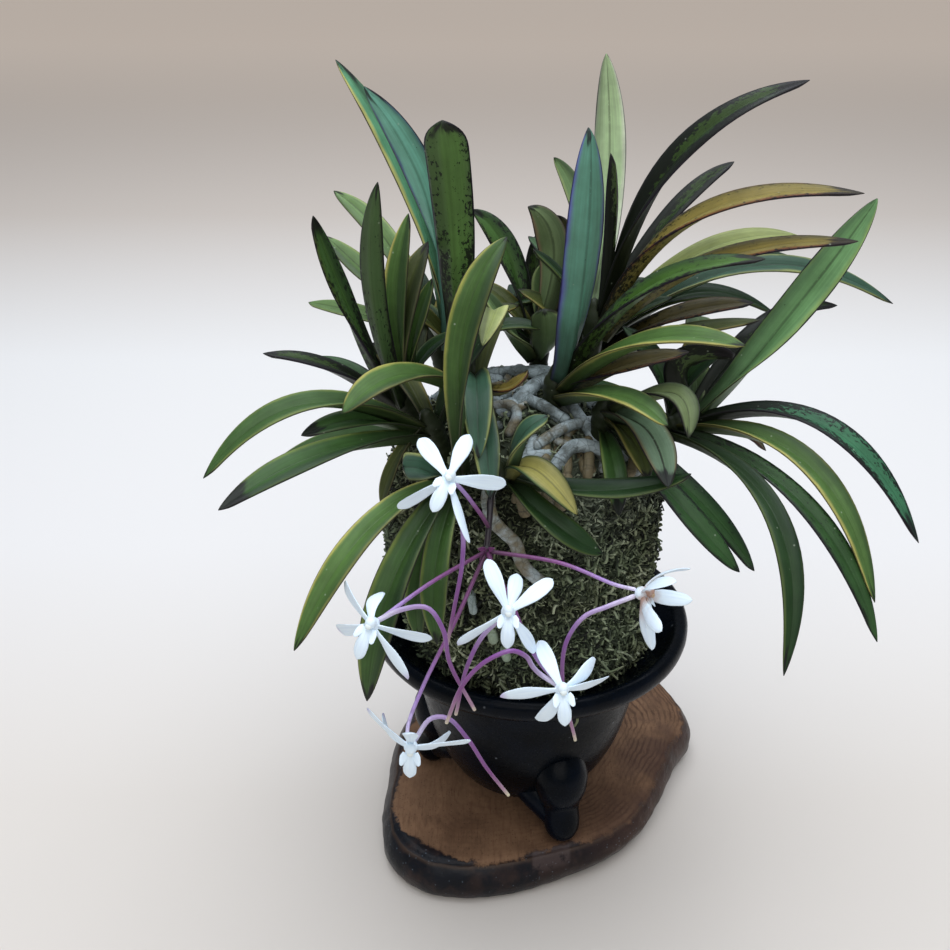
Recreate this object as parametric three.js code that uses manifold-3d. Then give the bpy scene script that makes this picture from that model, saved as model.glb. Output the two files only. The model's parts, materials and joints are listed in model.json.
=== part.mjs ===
// A wind orchid (Neofinetia) clump on a tall mound of moss, in a three-footed glazed orchid pot that
// stands on a slice of wood. Millimetres, +Z up, -Y is the front. The origin lies on the underside of
// the wooden stand, on the pot's axis.
import * as THREE from 'three';
import { mergeVertices } from 'three/addons/utils/BufferGeometryUtils.js';
import Module from 'manifold-3d';

const wasm = await Module();
wasm.setup();

// ---------------------------------------------------------------------------------------------
// Driving dimensions
// ---------------------------------------------------------------------------------------------
const GAP = 0.3; // air left between neighbouring solids that rest on one another
const STAND_THICKNESS = 15;
const STAND_BEVEL = 1.5;

const POT_SIDES = 32;
const DRAIN_HOLE_RADIUS = 8;
const FOOT_ANGLES = [-71, 49, 169]; // degrees round the pot; the first foot stands just right of front
const FOOT_RADIUS = 34; // distance of the toes from the pot's axis
const KNEE = { radius: 9, out: 31.4, height: 40.4 };
const LEG = { radii: [7.8, 5.6], out: 32, height: 30 }; // its thickness at the two ends, and its middle
const TOE = { radius: 5.9, height: STAND_THICKNESS + 5.9 };
const WEB = { radii: [6.4, 5], out: 24, height: 28 }; // slopes from under the bowl to the toe

const MOUND_SHIFT = -3.5; // the mound leans a little to the left above the rim
const MOUND_SIDES = 24;
const STOCK = { centre: [-2, -1], radius: 35.5, base: 148, rise: 18.5 }; // the heap of old roots

const LEAF_KEEL = [2, 1.2]; // thickness of a blade along its midrib, near the base and at the tip
const LEAF_STEP = 15; // length of blade for each segment of the solid
const LEAF_PITCH = 1.5; // distance along the stem from one leaf base to the next
const STEM = { radius: 3.1, sheath: 4.3, top: 2 }; // low down, round the leaf bases and at the top
const STEM_SIDES = 6;
const BASE_OFFSET = 2; // how far from the stem's axis a blade starts, inside the sheath

const TEPAL = { length: 14.5, width: 4, thickness: 1.1 };
const TEPAL_SHAPE = [0.5, 0.95, 0.95, 0.3]; // half widths from the heart to the tip, as shares
const LIP_SHAPE = [0.8, 0.75, 1, 0.5];
const HEART_RADIUS = 1.9;
const SPUR_RADIUS = [0.95, 0.55]; // at the mouth and at the tip
const PEDICEL_RADIUS = 0.8;
const LIP = { length: 8.6, rise: 3.4, width: 3.4, thickness: 1.3, lobe: 1.15 };
const COLUMN_RADIUS = 1.6;
const BACK_OFFSET = 1.15; // distance of the stem and of the spur from the middle of a bloom's back
const PEDUNCLE_RADIUS = [1.3, 1.2]; // at its foot and where the flower stems part
const NODE_RADIUS = 1.9;

const COLOURS = {
  wood: 0x6e4a2e, glaze: 0x0c0e10, moss: 0x4c5230, root: 0x9aa09a, stalk: 0x6b3f63,
  petal: 0xf4f4f8, spur: 0x9a6aa6, leaf: 0x4f6b35, darkLeaf: 0x2f3d28, paleLeaf: 0x8f9a5c,
};

// ---------------------------------------------------------------------------------------------
// Small tools: vectors, seeded draws, lofts and joins
// ---------------------------------------------------------------------------------------------
const UP = new THREE.Vector3(0, 0, 1);
const FRONT = new THREE.Vector3(0, -0.8, 0.6); // forwards and up, where the clump is looked at from

const vec = ([x, y, z]) => new THREE.Vector3(x, y, z);
const mix = (a, b, t) => a + (b - a) * t;
const radians = (degrees) => THREE.MathUtils.degToRad(degrees);
const smooth = (t) => THREE.MathUtils.smoothstep(t, 0, 1);

/** A repeatable stream of numbers from 0 to 1. */
function seededDraws(seed) {
  let state = seed;
  return () => {
    state = (state * 1664525 + 1013904223) % 4294967296;
    return state / 4294967296;
  };
}

/** The closed solid of a geometry, with its vertices joined by position alone. */
function solidOf(geometry) {
  const bare = geometry.clone();
  for (const name of Object.keys(bare.attributes)) if (name !== 'position') bare.deleteAttribute(name);
  const welded = mergeVertices(bare, 1e-4);
  return new wasm.Manifold(new wasm.Mesh({
    numProp: 3,
    vertProperties: Float32Array.from(welded.attributes.position.array),
    triVerts: Uint32Array.from(welded.index.array),
  }));
}

/** The geometry of a solid, ready for a mesh. */
function geometryOf(solid) {
  const { vertProperties, triVerts } = solid.getMesh();
  const geometry = new THREE.BufferGeometry();
  geometry.setAttribute('position', new THREE.BufferAttribute(vertProperties, 3));
  geometry.setIndex(new THREE.BufferAttribute(triVerts, 1));
  geometry.computeVertexNormals();
  return geometry;
}

const join = (solids) => solids.reduce((whole, next) => whole.add(next));

/** The largest connected body of a solid: loose scraps are dropped. */
function mainBody(solid) {
  return solid.decompose().reduce((best, next) => (next.volume() > best.volume() ? next : best));
}

/**
 * A closed skin over rings of points. Each ring runs anticlockwise about the direction of travel. In
 * a thin blade the two walls that meet at an edge are creased the same way, so that they can't cross.
 */
function loft(rings, thin = false) {
  const count = rings[0].length;
  const points = rings.flat();
  const faces = [];
  for (let i = 0; i + 1 < rings.length; i += 1) {
    for (let j = 0; j < count; j += 1) {
      const a = i * count + j;
      const b = i * count + ((j + 1) % count);
      if (thin && j % 2 === 1) faces.push(a, b, a + count, b, b + count, a + count);
      else faces.push(a, b, b + count, a, b + count, a + count);
    }
  }
  const last = (rings.length - 1) * count;
  for (let j = 1; j + 1 < count; j += 1) {
    faces.push(0, j + 1, j);
    faces.push(last, last + j, last + j + 1);
  }
  const geometry = new THREE.BufferGeometry().setFromPoints(points);
  geometry.setIndex(faces);
  return geometry;
}

/** A round, tapering tube along a curve. */
function tube(curve, segments, sides, radiusAt) {
  const { normals, binormals } = curve.computeFrenetFrames(segments);
  const rings = [];
  for (let i = 0; i <= segments; i += 1) {
    const centre = curve.getPointAt(i / segments);
    const radius = radiusAt(i / segments);
    const ring = [];
    for (let j = 0; j < sides; j += 1) {
      const angle = (2 * Math.PI * j) / sides;
      ring.push(centre.clone()
        .addScaledVector(normals[i], radius * Math.cos(angle))
        .addScaledVector(binormals[i], radius * Math.sin(angle)));
    }
    rings.push(ring);
  }
  return loft(rings);
}

/** A tube through a list of points, thicker or thinner by the given radii at its two ends. */
function strand(points, radii, segments, sides) {
  const curve = new THREE.CatmullRomCurve3(points.map(vec), false, 'centripetal');
  return solidOf(tube(curve, segments, sides, (t) => mix(radii[0], radii[1], t)));
}

/** A solid turned round the vertical axis from [radius, height] points. */
function turned(profile, sides) {
  return solidOf(latheAbout(profile, sides));
}

function latheAbout(profile, sides) {
  const geometry = new THREE.LatheGeometry(profile.map(([r, z]) => new THREE.Vector2(r, z)), sides);
  return geometry.rotateX(Math.PI / 2);
}

function ball(radius, centre, sides, rows, scale = [1, 1, 1]) {
  const geometry = new THREE.SphereGeometry(radius, sides, rows);
  geometry.scale(...scale);
  geometry.translate(...centre);
  return solidOf(geometry);
}

function part(name, solid, colour, roughness) {
  const material = new THREE.MeshStandardMaterial({ color: colour, roughness, metalness: 0 });
  const mesh = new THREE.Mesh(geometryOf(solid), material);
  mesh.name = name;
  return mesh;
}

// ---------------------------------------------------------------------------------------------
// Wooden stand: a slice cut across a trunk, with its wavy bark edge
// ---------------------------------------------------------------------------------------------
const STAND_OUTLINE = [
  [-10, -46.5], [11, -41], [26, -35], [40, -23], [50, -6], [58, 11], [66, 28], [62, 47], [54, 61],
  [38, 72], [16, 72], [-8, 64], [-30, 51], [-44, 35], [-49, 16], [-49.5, 0], [-50.5, -18], [-47, -34],
  [-37, -44], [-24, -47.5],
];

function stand() {
  const shape = new THREE.Shape();
  const points = STAND_OUTLINE.map(([x, y]) => new THREE.Vector2(x, y));
  shape.moveTo(points[0].x, points[0].y);
  shape.splineThru([...points.slice(1), points[0]]);
  const slab = new THREE.ExtrudeGeometry(shape, {
    depth: STAND_THICKNESS - 2 * STAND_BEVEL,
    curveSegments: 2,
    bevelThickness: STAND_BEVEL,
    bevelSize: STAND_BEVEL,
    bevelOffset: -STAND_BEVEL,
    bevelSegments: 1,
  });
  slab.translate(0, 0, STAND_BEVEL);
  return solidOf(slab);
}

// ---------------------------------------------------------------------------------------------
// Pot: bowl, overhanging flange with a rolled lip, and three knee-and-toe feet
// ---------------------------------------------------------------------------------------------
const POT_OUTSIDE = [
  [DRAIN_HOLE_RADIUS, 20.5], [16, 20.5], [22.8, 23], [28, 30], [32.8, 41],
  [36, 54], [38, 66], [39.8, 73], [43.4, 76], [49, 78.6], [51.9, 81.2],
  [52.5, 84.6], [51.2, 87], [49.2, 87],
];
const POT_INSIDE = [
  [46.4, 84.2], [40.5, 80.4], [36, 76.6], [33.2, 60], [29.2, 43],
  [22, 28.9], [15.5, 24.5], [DRAIN_HOLE_RADIUS, 24.5],
];

function potFoot(angle) {
  const out = (radius, z) => [radius * Math.cos(radians(angle)), radius * Math.sin(radians(angle)), z];
  const hip = out(KNEE.out, KNEE.height - 1.5);
  const leg = strand([hip, out(LEG.out, LEG.height), out(FOOT_RADIUS, TOE.height)], LEG.radii, 2, 6);
  const web = strand([out(WEB.out, WEB.height), out(FOOT_RADIUS, TOE.height)], WEB.radii, 1, 6);
  return join([
    ball(KNEE.radius, out(KNEE.out, KNEE.height), 9, 6),
    leg,
    web,
    ball(TOE.radius, out(FOOT_RADIUS, TOE.height), 8, 5),
  ]);
}

function pot() {
  const shell = turned([...POT_OUTSIDE, ...POT_INSIDE, POT_OUTSIDE[0]], POT_SIDES);
  const trim = turned([[0, 22.5], [17, 22.5], [25.6, 30], [31, 42], [34.8, 60], [0, 62]], 16);
  const feet = FOOT_ANGLES.map((angle) => potFoot(angle).subtract(trim));
  return join([shell, ...feet]);
}

// ---------------------------------------------------------------------------------------------
// Moss mound and the heap of roots on top of it
// ---------------------------------------------------------------------------------------------
const MOUND_PROFILE = [ // [radius, height, lumpiness]: smooth in the pot, lumpy above the rim
  [2, 25, 0], [15, 25.2, 0], [21.1, 29.6, 0], [28.4, 43.6, 0], [32.4, 60, 0], [35, 77, 0],
  [39.4, 81.4, 0.1], [41, 87, 0.5], [42.4, 97, 1], [43, 109, 1], [43, 121, 1], [42.8, 133, 1],
  [42, 142, 0.8], [40.4, 146.6, 0.6], [37.5, 149.4, 0.2], [2, 150, 0],
];

/** How far the moss stands out at an angle and a height, from -1.6 to 1.6 mm. */
function mossLump(angle, z) {
  return 0.7 * Math.sin(5 * angle + 0.13 * z) + 0.5 * Math.sin(8 * angle - 0.21 * z + 1)
    + 0.4 * Math.sin(3 * angle + 0.34 * z + 2);
}

function stockDome(extra) {
  const { centre, radius, base, rise } = STOCK;
  const at = (share, angle) => [
    (radius + extra) * share * Math.cos(radians(angle)), base + (rise + extra) * Math.sin(radians(angle)),
  ];
  const foot = base - extra;
  const profile = [[0, foot], [radius + extra, foot], at(1, 25), at(1, 55), at(0, 90)];
  return turned(profile, 14).translate([centre[0], centre[1], 0]);
}

function mossMound(holes) {
  const rings = MOUND_PROFILE.map(([radius, z, lumpiness]) => {
    const shift = MOUND_SHIFT * smooth((z - 82) / 20);
    const ring = [];
    for (let j = 0; j < MOUND_SIDES; j += 1) {
      const angle = (2 * Math.PI * j) / MOUND_SIDES;
      const r = radius + lumpiness * mossLump(angle, z);
      ring.push(vec([shift + r * Math.cos(angle), r * Math.sin(angle), z]));
    }
    return ring;
  });
  const mound = solidOf(loft(rings)).subtract(stockDome(GAP));
  return mainBody(holes.reduce((moss, hole) => moss.subtract(hole), mound));
}

const NAMED_ROOTS = [ // [radius, points]: the thick roots that show between the leaves
  [2.3, [[-20, 13, 163], [-12, 10, 166], [-3, 6, 168], [4, 2, 168]]],
  [2.2, [[-6, 9, 166], [2, 7, 168], [9, 3, 168]]],
  [2.7, [[6, 3, 168], [0, -4, 168], [-6, -13, 166]]],
  [2.0, [[-17, -18, 160], [-12, -14, 165], [-8, -15, 166], [-6, -19, 165], [-9, -25, 161]]],
  [2.1, [[-4, -9, 166], [2, -16, 166], [9, -20, 163]]],
  [2.0, [[9, -12, 166], [13, -20, 163], [18, -27, 155.5]]],
  [2.0, [[-2, -29, 159], [6, -25, 163], [13, -20, 163], [20, -14, 161]]],
  [2.4, [[3, -35, 154], [9, -30, 160], [15, -28.5, 159.2], [22, -26, 155.5], [29, -18, 152]]],
  [2.0, [[-8, -33, 152], [-1, -36, 152.6], [6, -33, 153]]],
  [1.9, [[-7, -30, 156], [-12, -38.5, 154.5], [-14.5, -44.5, 152.5], [-13.4, -48.3, 147.5],
    [-10.7, -48.6, 144], [-7.2, -48.4, 140], [-4.8, -48, 132.7], [1.5, -47.4, 125.5]]],
];

/** A point on the root heap: reach is 0 at its crest and 1 at its foot. */
function onStock(reach, angle, lift) {
  const { centre, radius, base, rise } = STOCK;
  return [
    centre[0] + radius * reach * Math.cos(angle),
    centre[1] + radius * reach * Math.sin(angle),
    base + rise * Math.sqrt(1 - reach * reach) + lift,
  ];
}

function roots(holes) {
  const draw = seededDraws(11);
  const curtain = [0, 1, 2, 3, 4].map((k) => {
    const x = 1 + 6 * k;
    const back = 0.16 * Math.max(0, x - 10);
    return strand([[x + 1, -24 + back, 160], [x + draw() * 2, -32 + back, 156.5], [x, -36 + back, 152.4]],
      [1.9, 1.9], 2, 5);
  });
  const spread = [];
  for (let k = 0; k < 8; k += 1) { // roots that fan out over the back and the sides
    const angle = radians(-14 + 26 * k + 10 * draw());
    const drift = radians(30) * (draw() - 0.5);
    const points = [0.25, 0.5, 0.72, 0.93].map((reach, i) => onStock(reach, angle + drift * i, 0.3));
    spread.push(strand(points, [2.3, 2], 3, 5));
  }
  const named = NAMED_ROOTS.map(([radius, points]) => (
    strand(points, [radius, radius * 0.85], points.length, 5)));
  const heap = join([stockDome(0), ...named, ...curtain, ...spread]);
  return mainBody(holes.reduce((mat, hole) => mat.subtract(hole), heap));
}

// ---------------------------------------------------------------------------------------------
// Leafy growths. A leaf runs from its stem to its tip; arch lifts its middle off that straight line,
// sway moves it sideways, peak says where along the line it bends most, and front (0 to 1) how far
// the blade turns towards the viewer by its tip. A blunt leaf keeps its width to a rounded end.
// ---------------------------------------------------------------------------------------------
const GROWTHS = [
  { name: 'growth_left', foot: [-32, -9, 151], crown: [-39, -10, 166], leaves: [
    { tip: [-77, -20, 184], width: 7, arch: 4.5, front: 0.2 },
    { tip: [-61, -15, 221], width: 8, arch: -1.5, sway: 4, front: 0.55 },
    { tip: [-42, -30, 233], width: 7, arch: -1, sway: 4 },
    { tip: [-36, -8, 220], width: 8, arch: 6, sway: 3, front: 0.6 },
    { tip: [-31, -3, 211], width: 9, arch: 8, sway: 3, front: 0.6 },
    { tip: [-30, -5, 201], width: 7, arch: 3, sway: 3 },
  ] },
  { name: 'growth_left_low', foot: [-26, -22, 151], crown: [-30, -26, 164], leaves: [
    { tip: [-78, -24, 150], width: 8, arch: 3, sway: 6, front: 0.2 },
    { tip: [-81, -70, 162], width: 9, arch: 6 },
    { tip: [-64, -44, 170], width: 8, arch: 4, sway: 1 },
    { tip: [-88, -55, 163], width: 9, arch: 14, sway: 2, front: 0.3 },
    { tip: [-44.5, -35, 143.5], width: 5, arch: 3 },
  ] },
  { name: 'growth_front_left', foot: [-18, -31, 150], crown: [-23, -40, 156], leaves: [
    { tip: [-33, -60, 116], width: 7, arch: 8, sway: 1, peak: 0.7 },
    { tip: [-28, -68, 120], width: 8, arch: 11, sway: 1 },
    { tip: [-46, -80, 111], width: 10, arch: 17, sway: -3 },
    { tip: [-62, -88, 133], width: 8, arch: 14, sway: -3 },
    { tip: [-10, -36, 221], width: 9, arch: 10, sway: 6, peak: 0.75, front: 0.9 },
    { tip: [-37.5, -46, 162], width: 9, arch: 1, front: 0.7, blunt: true },
  ] },
  { name: 'growth_tall_left', foot: [-20, 4, 155], crown: [-23, 4, 176], leaves: [
    { tip: [-57, 20, 256], width: 8, arch: 6.5, sway: 2, front: 0.6 },
    { tip: [-47, -4, 252], width: 10, arch: 8, sway: 1, front: 0.6 },
    { tip: [-26, -26, 247], width: 12, arch: 3, sway: -1, front: 0, blunt: true },
  ] },
  { name: 'growth_back_left', foot: [-26, 23, 151], crown: [-31, 29, 172], leaves: [
    { tip: [-74, 46, 177], width: 8, arch: 3, sway: -3 },
    { tip: [-67, 48, 199], width: 9, arch: 2, sway: -2 },
    { tip: [-65, 60, 211], width: 9, arch: 6, sway: 1, front: 0.6 },
  ] },
  { name: 'growth_inner', foot: [-16, -11, 157], crown: [-18, -12, 173], leaves: [
    { tip: [-52, -50, 179], width: 10, arch: 9, sway: -1, peak: 0.7 },
    { tip: [-3, -22, 180], width: 6, arch: -2, sway: 3, peak: 0.7 },
    { tip: [-16, -30, 190], width: 9, arch: 15, sway: -5, peak: 0.8, front: 0.2 },
    { tip: [-14, -55.5, 157], width: 8, arch: 6.5, peak: 0.6, front: 0.6 },
    { tip: [-17, -50, 166], width: 9, arch: 9, peak: 0.5, front: 0.7 },
  ] },
  { name: 'growth_back', foot: [2, 17, 153], crown: [2, 17, 174], leaves: [
    { tip: [-17, 4, 196], width: 9, arch: -1, sway: -3, front: 0.5 },
    { tip: [2, -2, 191], width: 9, arch: -3, sway: -1, front: 0, blunt: true },
    { tip: [-19, 30, 212], width: 9, arch: 3, sway: 4, peak: 0.7, front: 0.7 },
    { tip: [-3, 8, 218], width: 10, arch: 7, sway: -4, peak: 0.7, front: 0.75 },
    { tip: [7, 27, 211], width: 8, arch: -3, sway: 4, peak: 0.7 },
    { tip: [1, 34, 203], width: 7, arch: -5 },
    { tip: [3, 20, 198], width: 7, arch: -2, sway: -1 },
  ] },
  { name: 'growth_tall_right', foot: [17, 5, 155], crown: [17, 4, 185], leaves: [
    { tip: [74, 2, 211], width: 9, arch: 10, sway: 1, peak: 0.6 },
    { tip: [78, -34, 219], width: 9, arch: 9, sway: 2, peak: 0.5 },
    { tip: [79, -30, 230], width: 9, arch: 16, sway: 3, peak: 0.5 },
    { tip: [59, 26, 227], width: 7, arch: 3.5, sway: -3, peak: 0.7 },
    { tip: [68, -8, 254], width: 10, arch: 14, sway: 2, peak: 0.6, front: 0.5 },
    { tip: [6, 38, 226], width: 7, arch: -3, sway: 6, peak: 0.8, front: 0.6 },
    { tip: [19, 2, 234], width: 6, sway: -2, front: 0 },
    { tip: [18, 16, 258], width: 10, arch: -11, sway: 3, peak: 0.5, front: 0.8 },
  ] },
  { name: 'growth_right_back', foot: [17, 15, 153], crown: [16, 14, 171], leaves: [
    { tip: [68, 8, 184], width: 7, arch: 2, sway: -2, peak: 0.45 },
    { tip: [63, 0, 192], width: 9, arch: 5, sway: 1 },
    { tip: [77, 26, 180], width: 9, arch: 12, sway: -2 },
    { tip: [91, 40, 191], width: 8, arch: 12, sway: -6, peak: 0.6 },
    { tip: [114, 26, 183], width: 9, arch: 18, sway: -2, front: 0.5 },
  ] },
  { name: 'growth_right', foot: [4, -11, 157], crown: [5, -12, 171], leaves: [
    { tip: [29, -62, 181], width: 8, arch: 6, sway: 2, peak: 0.8 },
    { tip: [39, -32, 189], width: 8, arch: 3, sway: 4 },
    { tip: [46, -60, 201], width: 9, arch: 8, sway: 5, peak: 0.7 },
    { tip: [52, -46, 218], width: 9, arch: 10, sway: 3, peak: 0.6 },
    { tip: [10, -24, 245], width: 11, arch: -5, front: 0.3 },
  ] },
  { name: 'growth_front', foot: [-9, -32, 150], crown: [-11, -41, 158], leaves: [
    { tip: [16, -58, 142], width: 9, arch: 3, sway: 6 },
    { tip: [37, -58, 166], width: 8, arch: -3, sway: 3 },
    { tip: [8.5, -60, 155], width: 9, arch: 8, peak: 0.22 },
    { tip: [1, -46, 177], width: 8, arch: 3, sway: 4, peak: 0.8 },
  ] },
  { name: 'growth_right_front', foot: [17, -21, 152], crown: [18, -24, 167], leaves: [
    { tip: [20, -52, 150], width: 7, arch: 5 },
    { tip: [53, -56, 135], width: 8, arch: 3, sway: 3, peak: 0.6 },
    { tip: [60, -46, 129], width: 8, arch: 5, sway: 3, peak: 0.6 },
    { tip: [27, -52, 161], width: 7, arch: 3, sway: -1 },
    { tip: [30, -64, 165], width: 10, arch: 6, sway: -2 },
    { tip: [37, -50, 172], width: 8, arch: 8, sway: -6, peak: 0.7 },
  ] },
  { name: 'growth_far_right', foot: [30, -6, 151], crown: [42, -8, 158], leaves: [
    { tip: [72, -2, 145], width: 6, arch: 5, sway: -1, peak: 0.7 },
    { tip: [62, -76, 116], width: 7.5, arch: 18, sway: -8 },
    { tip: [90, -64, 118], width: 8, arch: 15, sway: 0 },
    { tip: [89, -60, 128], width: 9, arch: 16, sway: -6, peak: 0.45 },
    { tip: [105, -44, 137], width: 9, arch: 18, sway: -4, peak: 0.45 },
    { tip: [95, 22, 184], width: 8, arch: 7, sway: -5, peak: 0.7 },
    { tip: [92, -4, 223], width: 11, arch: -2.5, front: 1 },
    { tip: [54, -20, 184], width: 10, arch: 9, sway: 8, peak: 0.7, blunt: true },
    { tip: [55, 36, 176], width: 9, arch: 2, peak: 0.7, blunt: true },
  ] },
];

/** Half the width of a blade at t, as a share of its widest. */
function bladeShape(t, blunt) {
  const shoulder = blunt ? 0.86 : 0.5;
  const base = mix(0.74, 1, smooth(t / 0.3));
  const run = Math.max(0, (t - shoulder) / (1 - shoulder));
  return base * Math.max(blunt ? 0.42 : 0.1, (1 - run ** (blunt ? 2.6 : 1.9)) ** 0.8);
}

/** The curve of a leaf's midrib, and the level direction square to its heading. */
function midrib(base, { tip, arch = 0, sway = 0, peak = 0.55 }) {
  const end = vec(tip);
  const chord = end.clone().sub(base);
  const heading = chord.clone().setZ(0).normalize();
  const side = heading.cross(UP);
  const lift = side.clone().cross(chord).normalize();
  const bend = base.clone().lerp(end, peak).addScaledVector(lift, 2 * arch).addScaledVector(side, 2 * sway);
  return { curve: new THREE.QuadraticBezierCurve3(base, bend, end), side };
}

/**
 * The upper side's direction at t: square to the rib, turned part of the way to the front. A blade
 * that shows its back halfway along keeps that side to the front all the way.
 */
function upperSide(curve, side, t, front) {
  const square = (direction, along) => (
    direction.clone().addScaledVector(along, -direction.dot(along)).normalize());
  const natural = (along) => square(side, along).cross(along);
  const along = curve.getTangent(t);
  const towards = square(FRONT, along);
  if (natural(curve.getTangent(0.5)).dot(FRONT) < 0) towards.negate();
  return natural(along).lerp(towards, front * smooth(t * 1.6)).normalize();
}

function leafBlade(base, leaf) {
  const { width, front = 0.4, blunt = false } = leaf;
  const { curve, side } = midrib(base, leaf);
  const segments = THREE.MathUtils.clamp(Math.round(curve.getLength() / LEAF_STEP), 4, 6);
  const rings = [];
  for (let i = 0; i <= segments; i += 1) {
    const t = i / segments;
    const rib = curve.getPoint(t);
    const upper = upperSide(curve, side, t, front);
    const across = upper.clone().cross(curve.getTangent(t)).normalize();
    const half = (width / 2) * bladeShape(t, blunt);
    const fold = radians(mix(48, 18, smooth(t / 0.7)));
    const keel = mix(LEAF_KEEL[0], LEAF_KEEL[1], t);
    const reach = half * Math.cos(fold);
    const raise = half * Math.sin(fold);
    const at = (a, n) => rib.clone().addScaledVector(across, a).addScaledVector(upper, n - raise / 2);
    rings.push([at(0, -keel), at(reach, raise - keel / 2), at(0, 0), at(-reach, raise - keel / 2)]);
  }
  return solidOf(loft(rings, true));
}

/** The short stem of a growth with the sheath round its leaf bases; extra makes the hole for it. */
function growthStem({ foot, crown }, extra) {
  const low = vec(foot);
  const along = vec(crown).sub(low);
  const length = along.length();
  const { radius, sheath, top } = STEM;
  const profile = [
    [0, -extra], [radius + extra, -extra], [radius + extra, Math.max(1, length - 11)],
    [sheath + extra, length + 1], [top + extra, length + 7 + extra], [0, length + 7 + extra],
  ];
  const geometry = latheAbout(profile, STEM_SIDES);
  geometry.applyQuaternion(new THREE.Quaternion().setFromUnitVectors(UP, along.normalize()));
  geometry.translate(low.x, low.y, low.z);
  return solidOf(geometry);
}

function growth(plan) {
  const crown = vec(plan.crown);
  const along = crown.clone().sub(vec(plan.foot)).normalize();
  const blades = plan.leaves.map((leaf, k) => {
    const base = crown.clone().addScaledVector(along, LEAF_PITCH * (k - (plan.leaves.length - 1) / 2));
    const heading = vec(leaf.tip).sub(base).setZ(0).normalize();
    return leafBlade(base.addScaledVector(heading, BASE_OFFSET), leaf);
  });
  return mainBody(join([growthStem(plan, 0), ...blades]));
}

// ---------------------------------------------------------------------------------------------
// Flowers: the stalk with its flower stems, then each bloom and its spur
// ---------------------------------------------------------------------------------------------
const STALK_START = [-11.6, -46.6, 158]; // in a leaf axil of the front growth
const STALK_NODE = [-15, -60, 144.5]; // where the flower stems part from the stalk

// face: the way the flower looks, in degrees to the right of front and above level. Each tepal has
// its spin about that direction (90 is up), its backward tilt and a length factor; lip is a spin too,
// and so is mouth, the side of the back where the spur leaves. The flower stem joins opposite to it.
const BLOOMS = [
  { centre: [-24, -80, 176], face: [0, 36], lip: 245, mouth: 290,
    tepals: [[124, 28, 1], [68, 30, 1], [-2, 24, 1], [-72, 5, 1.06], [207, 22, 1]],
    stem: [[-14.5, -57, 150], [-17, -67, 160], [-21.5, -75, 171]],
    spur: [[-21, -80.5, 164], [-21, -82, 155], [-23, -82, 142], [-25, -80, 129]] },
  { centre: [-42, -92, 144], face: [-16, 24], lip: 255, mouth: 50,
    tepals: [[144, 28, 1], [112, 62, 0.88], [-9, 20, 1], [-51, 8, 1.06], [202, 34, 1]],
    stem: [STALK_NODE, [-29, -76, 145], [-39, -86.5, 143]],
    spur: [[-35, -91, 147.5], [-29, -92.5, 149], [-25.5, -92.5, 143], [-24, -91, 132], [-18, -89, 116]] },
  { centre: [-10, -84, 142], face: [0, 24], lip: 268, mouth: 245,
    tepals: [[113, 28, 1], [72, 52, 0.9], [32, 26, 1], [215, 10, 1.05], [-58, 26, 1]],
    stem: [STALK_NODE, [-12, -71, 142.5], [-10.5, -79, 141.4]],
    spur: [[-16, -82.5, 134], [-20, -82, 124], [-23, -80, 107]] },
  { centre: [24, -73, 140], face: [72, 4], lip: 250, mouth: 250,
    tepals: [[50, -56, 0.92], [-36, -58, 0.95], [264, -10, 1.1], [124, -44, 0.9], [196, -30, 0.9]],
    stem: [STALK_NODE, [4, -66, 144.5], [17.5, -71, 141.2]],
    spur: [[15, -76.5, 138.5], [9, -78.5, 136.8], [5, -79, 130], [4.5, -77.5, 116], [9, -75, 94]] },
  { centre: [3, -92, 125], face: [4, 22], lip: 272, mouth: 150,
    tepals: [[114, 44, 1], [24, 42, 1], [2, 30, 1], [186, 6, 1.04], [245, 38, 1]],
    stem: [STALK_NODE, [-9, -70, 136], [-3, -80, 126], [2, -86, 122.8]],
    spur: [[-1.7, -88.6, 126.1], [-4.3, -90.9, 128.8], [-5.2, -94.2, 136], [-10, -97.5, 140.5],
      [-16, -98, 137.5], [-21, -97, 130], [-25, -95, 117]] },
  { centre: [-34, -92, 107], face: [0, 0], lip: 267, mouth: 20,
    tepals: [[142, 18, 1], [178, 58, 1], [8, 0, 1.04], [-23, 44, 1], [88, -35, 0.9]],
    stem: [STALK_NODE, [-23, -72, 131], [-31, -80, 117], [-35, -86, 108.5]],
    spur: [[-29, -88.4, 113], [-25, -88.4, 113.2], [-20, -87.4, 105.8], [-15, -86.4, 95], [-9, -85, 84]] },
];

/** The flower's own axes: out of its face, up its face, and to the viewer's right. */
function faceAxes([azimuth, elevation]) {
  const a = radians(azimuth);
  const e = radians(elevation);
  const out = vec([Math.sin(a) * Math.cos(e), -Math.cos(a) * Math.cos(e), Math.sin(e)]);
  const right = UP.clone().cross(out).normalize();
  const up = out.clone().cross(right).normalize();
  return { out, up, right };
}

/** A flat, lens-shaped blade along a curve, with its broad side facing the given way. */
function petalBlade(curve, facing, width, thickness, shape) {
  const rings = [];
  for (let i = 0; i < shape.length; i += 1) {
    const t = i / (shape.length - 1);
    const along = curve.getTangent(t);
    const upper = facing.clone().addScaledVector(along, -facing.dot(along)).normalize();
    const across = upper.clone().cross(along).normalize();
    const half = (width / 2) * shape[i];
    const point = curve.getPoint(t);
    const at = (a, n) => point.clone().addScaledVector(across, a).addScaledVector(upper, n);
    const thick = (thickness / 2) * mix(1, 0.7, t);
    rings.push([at(half, 0), at(0, thick), at(-half, 0), at(0, -thick)]);
  }
  return solidOf(loft(rings, true));
}

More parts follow.
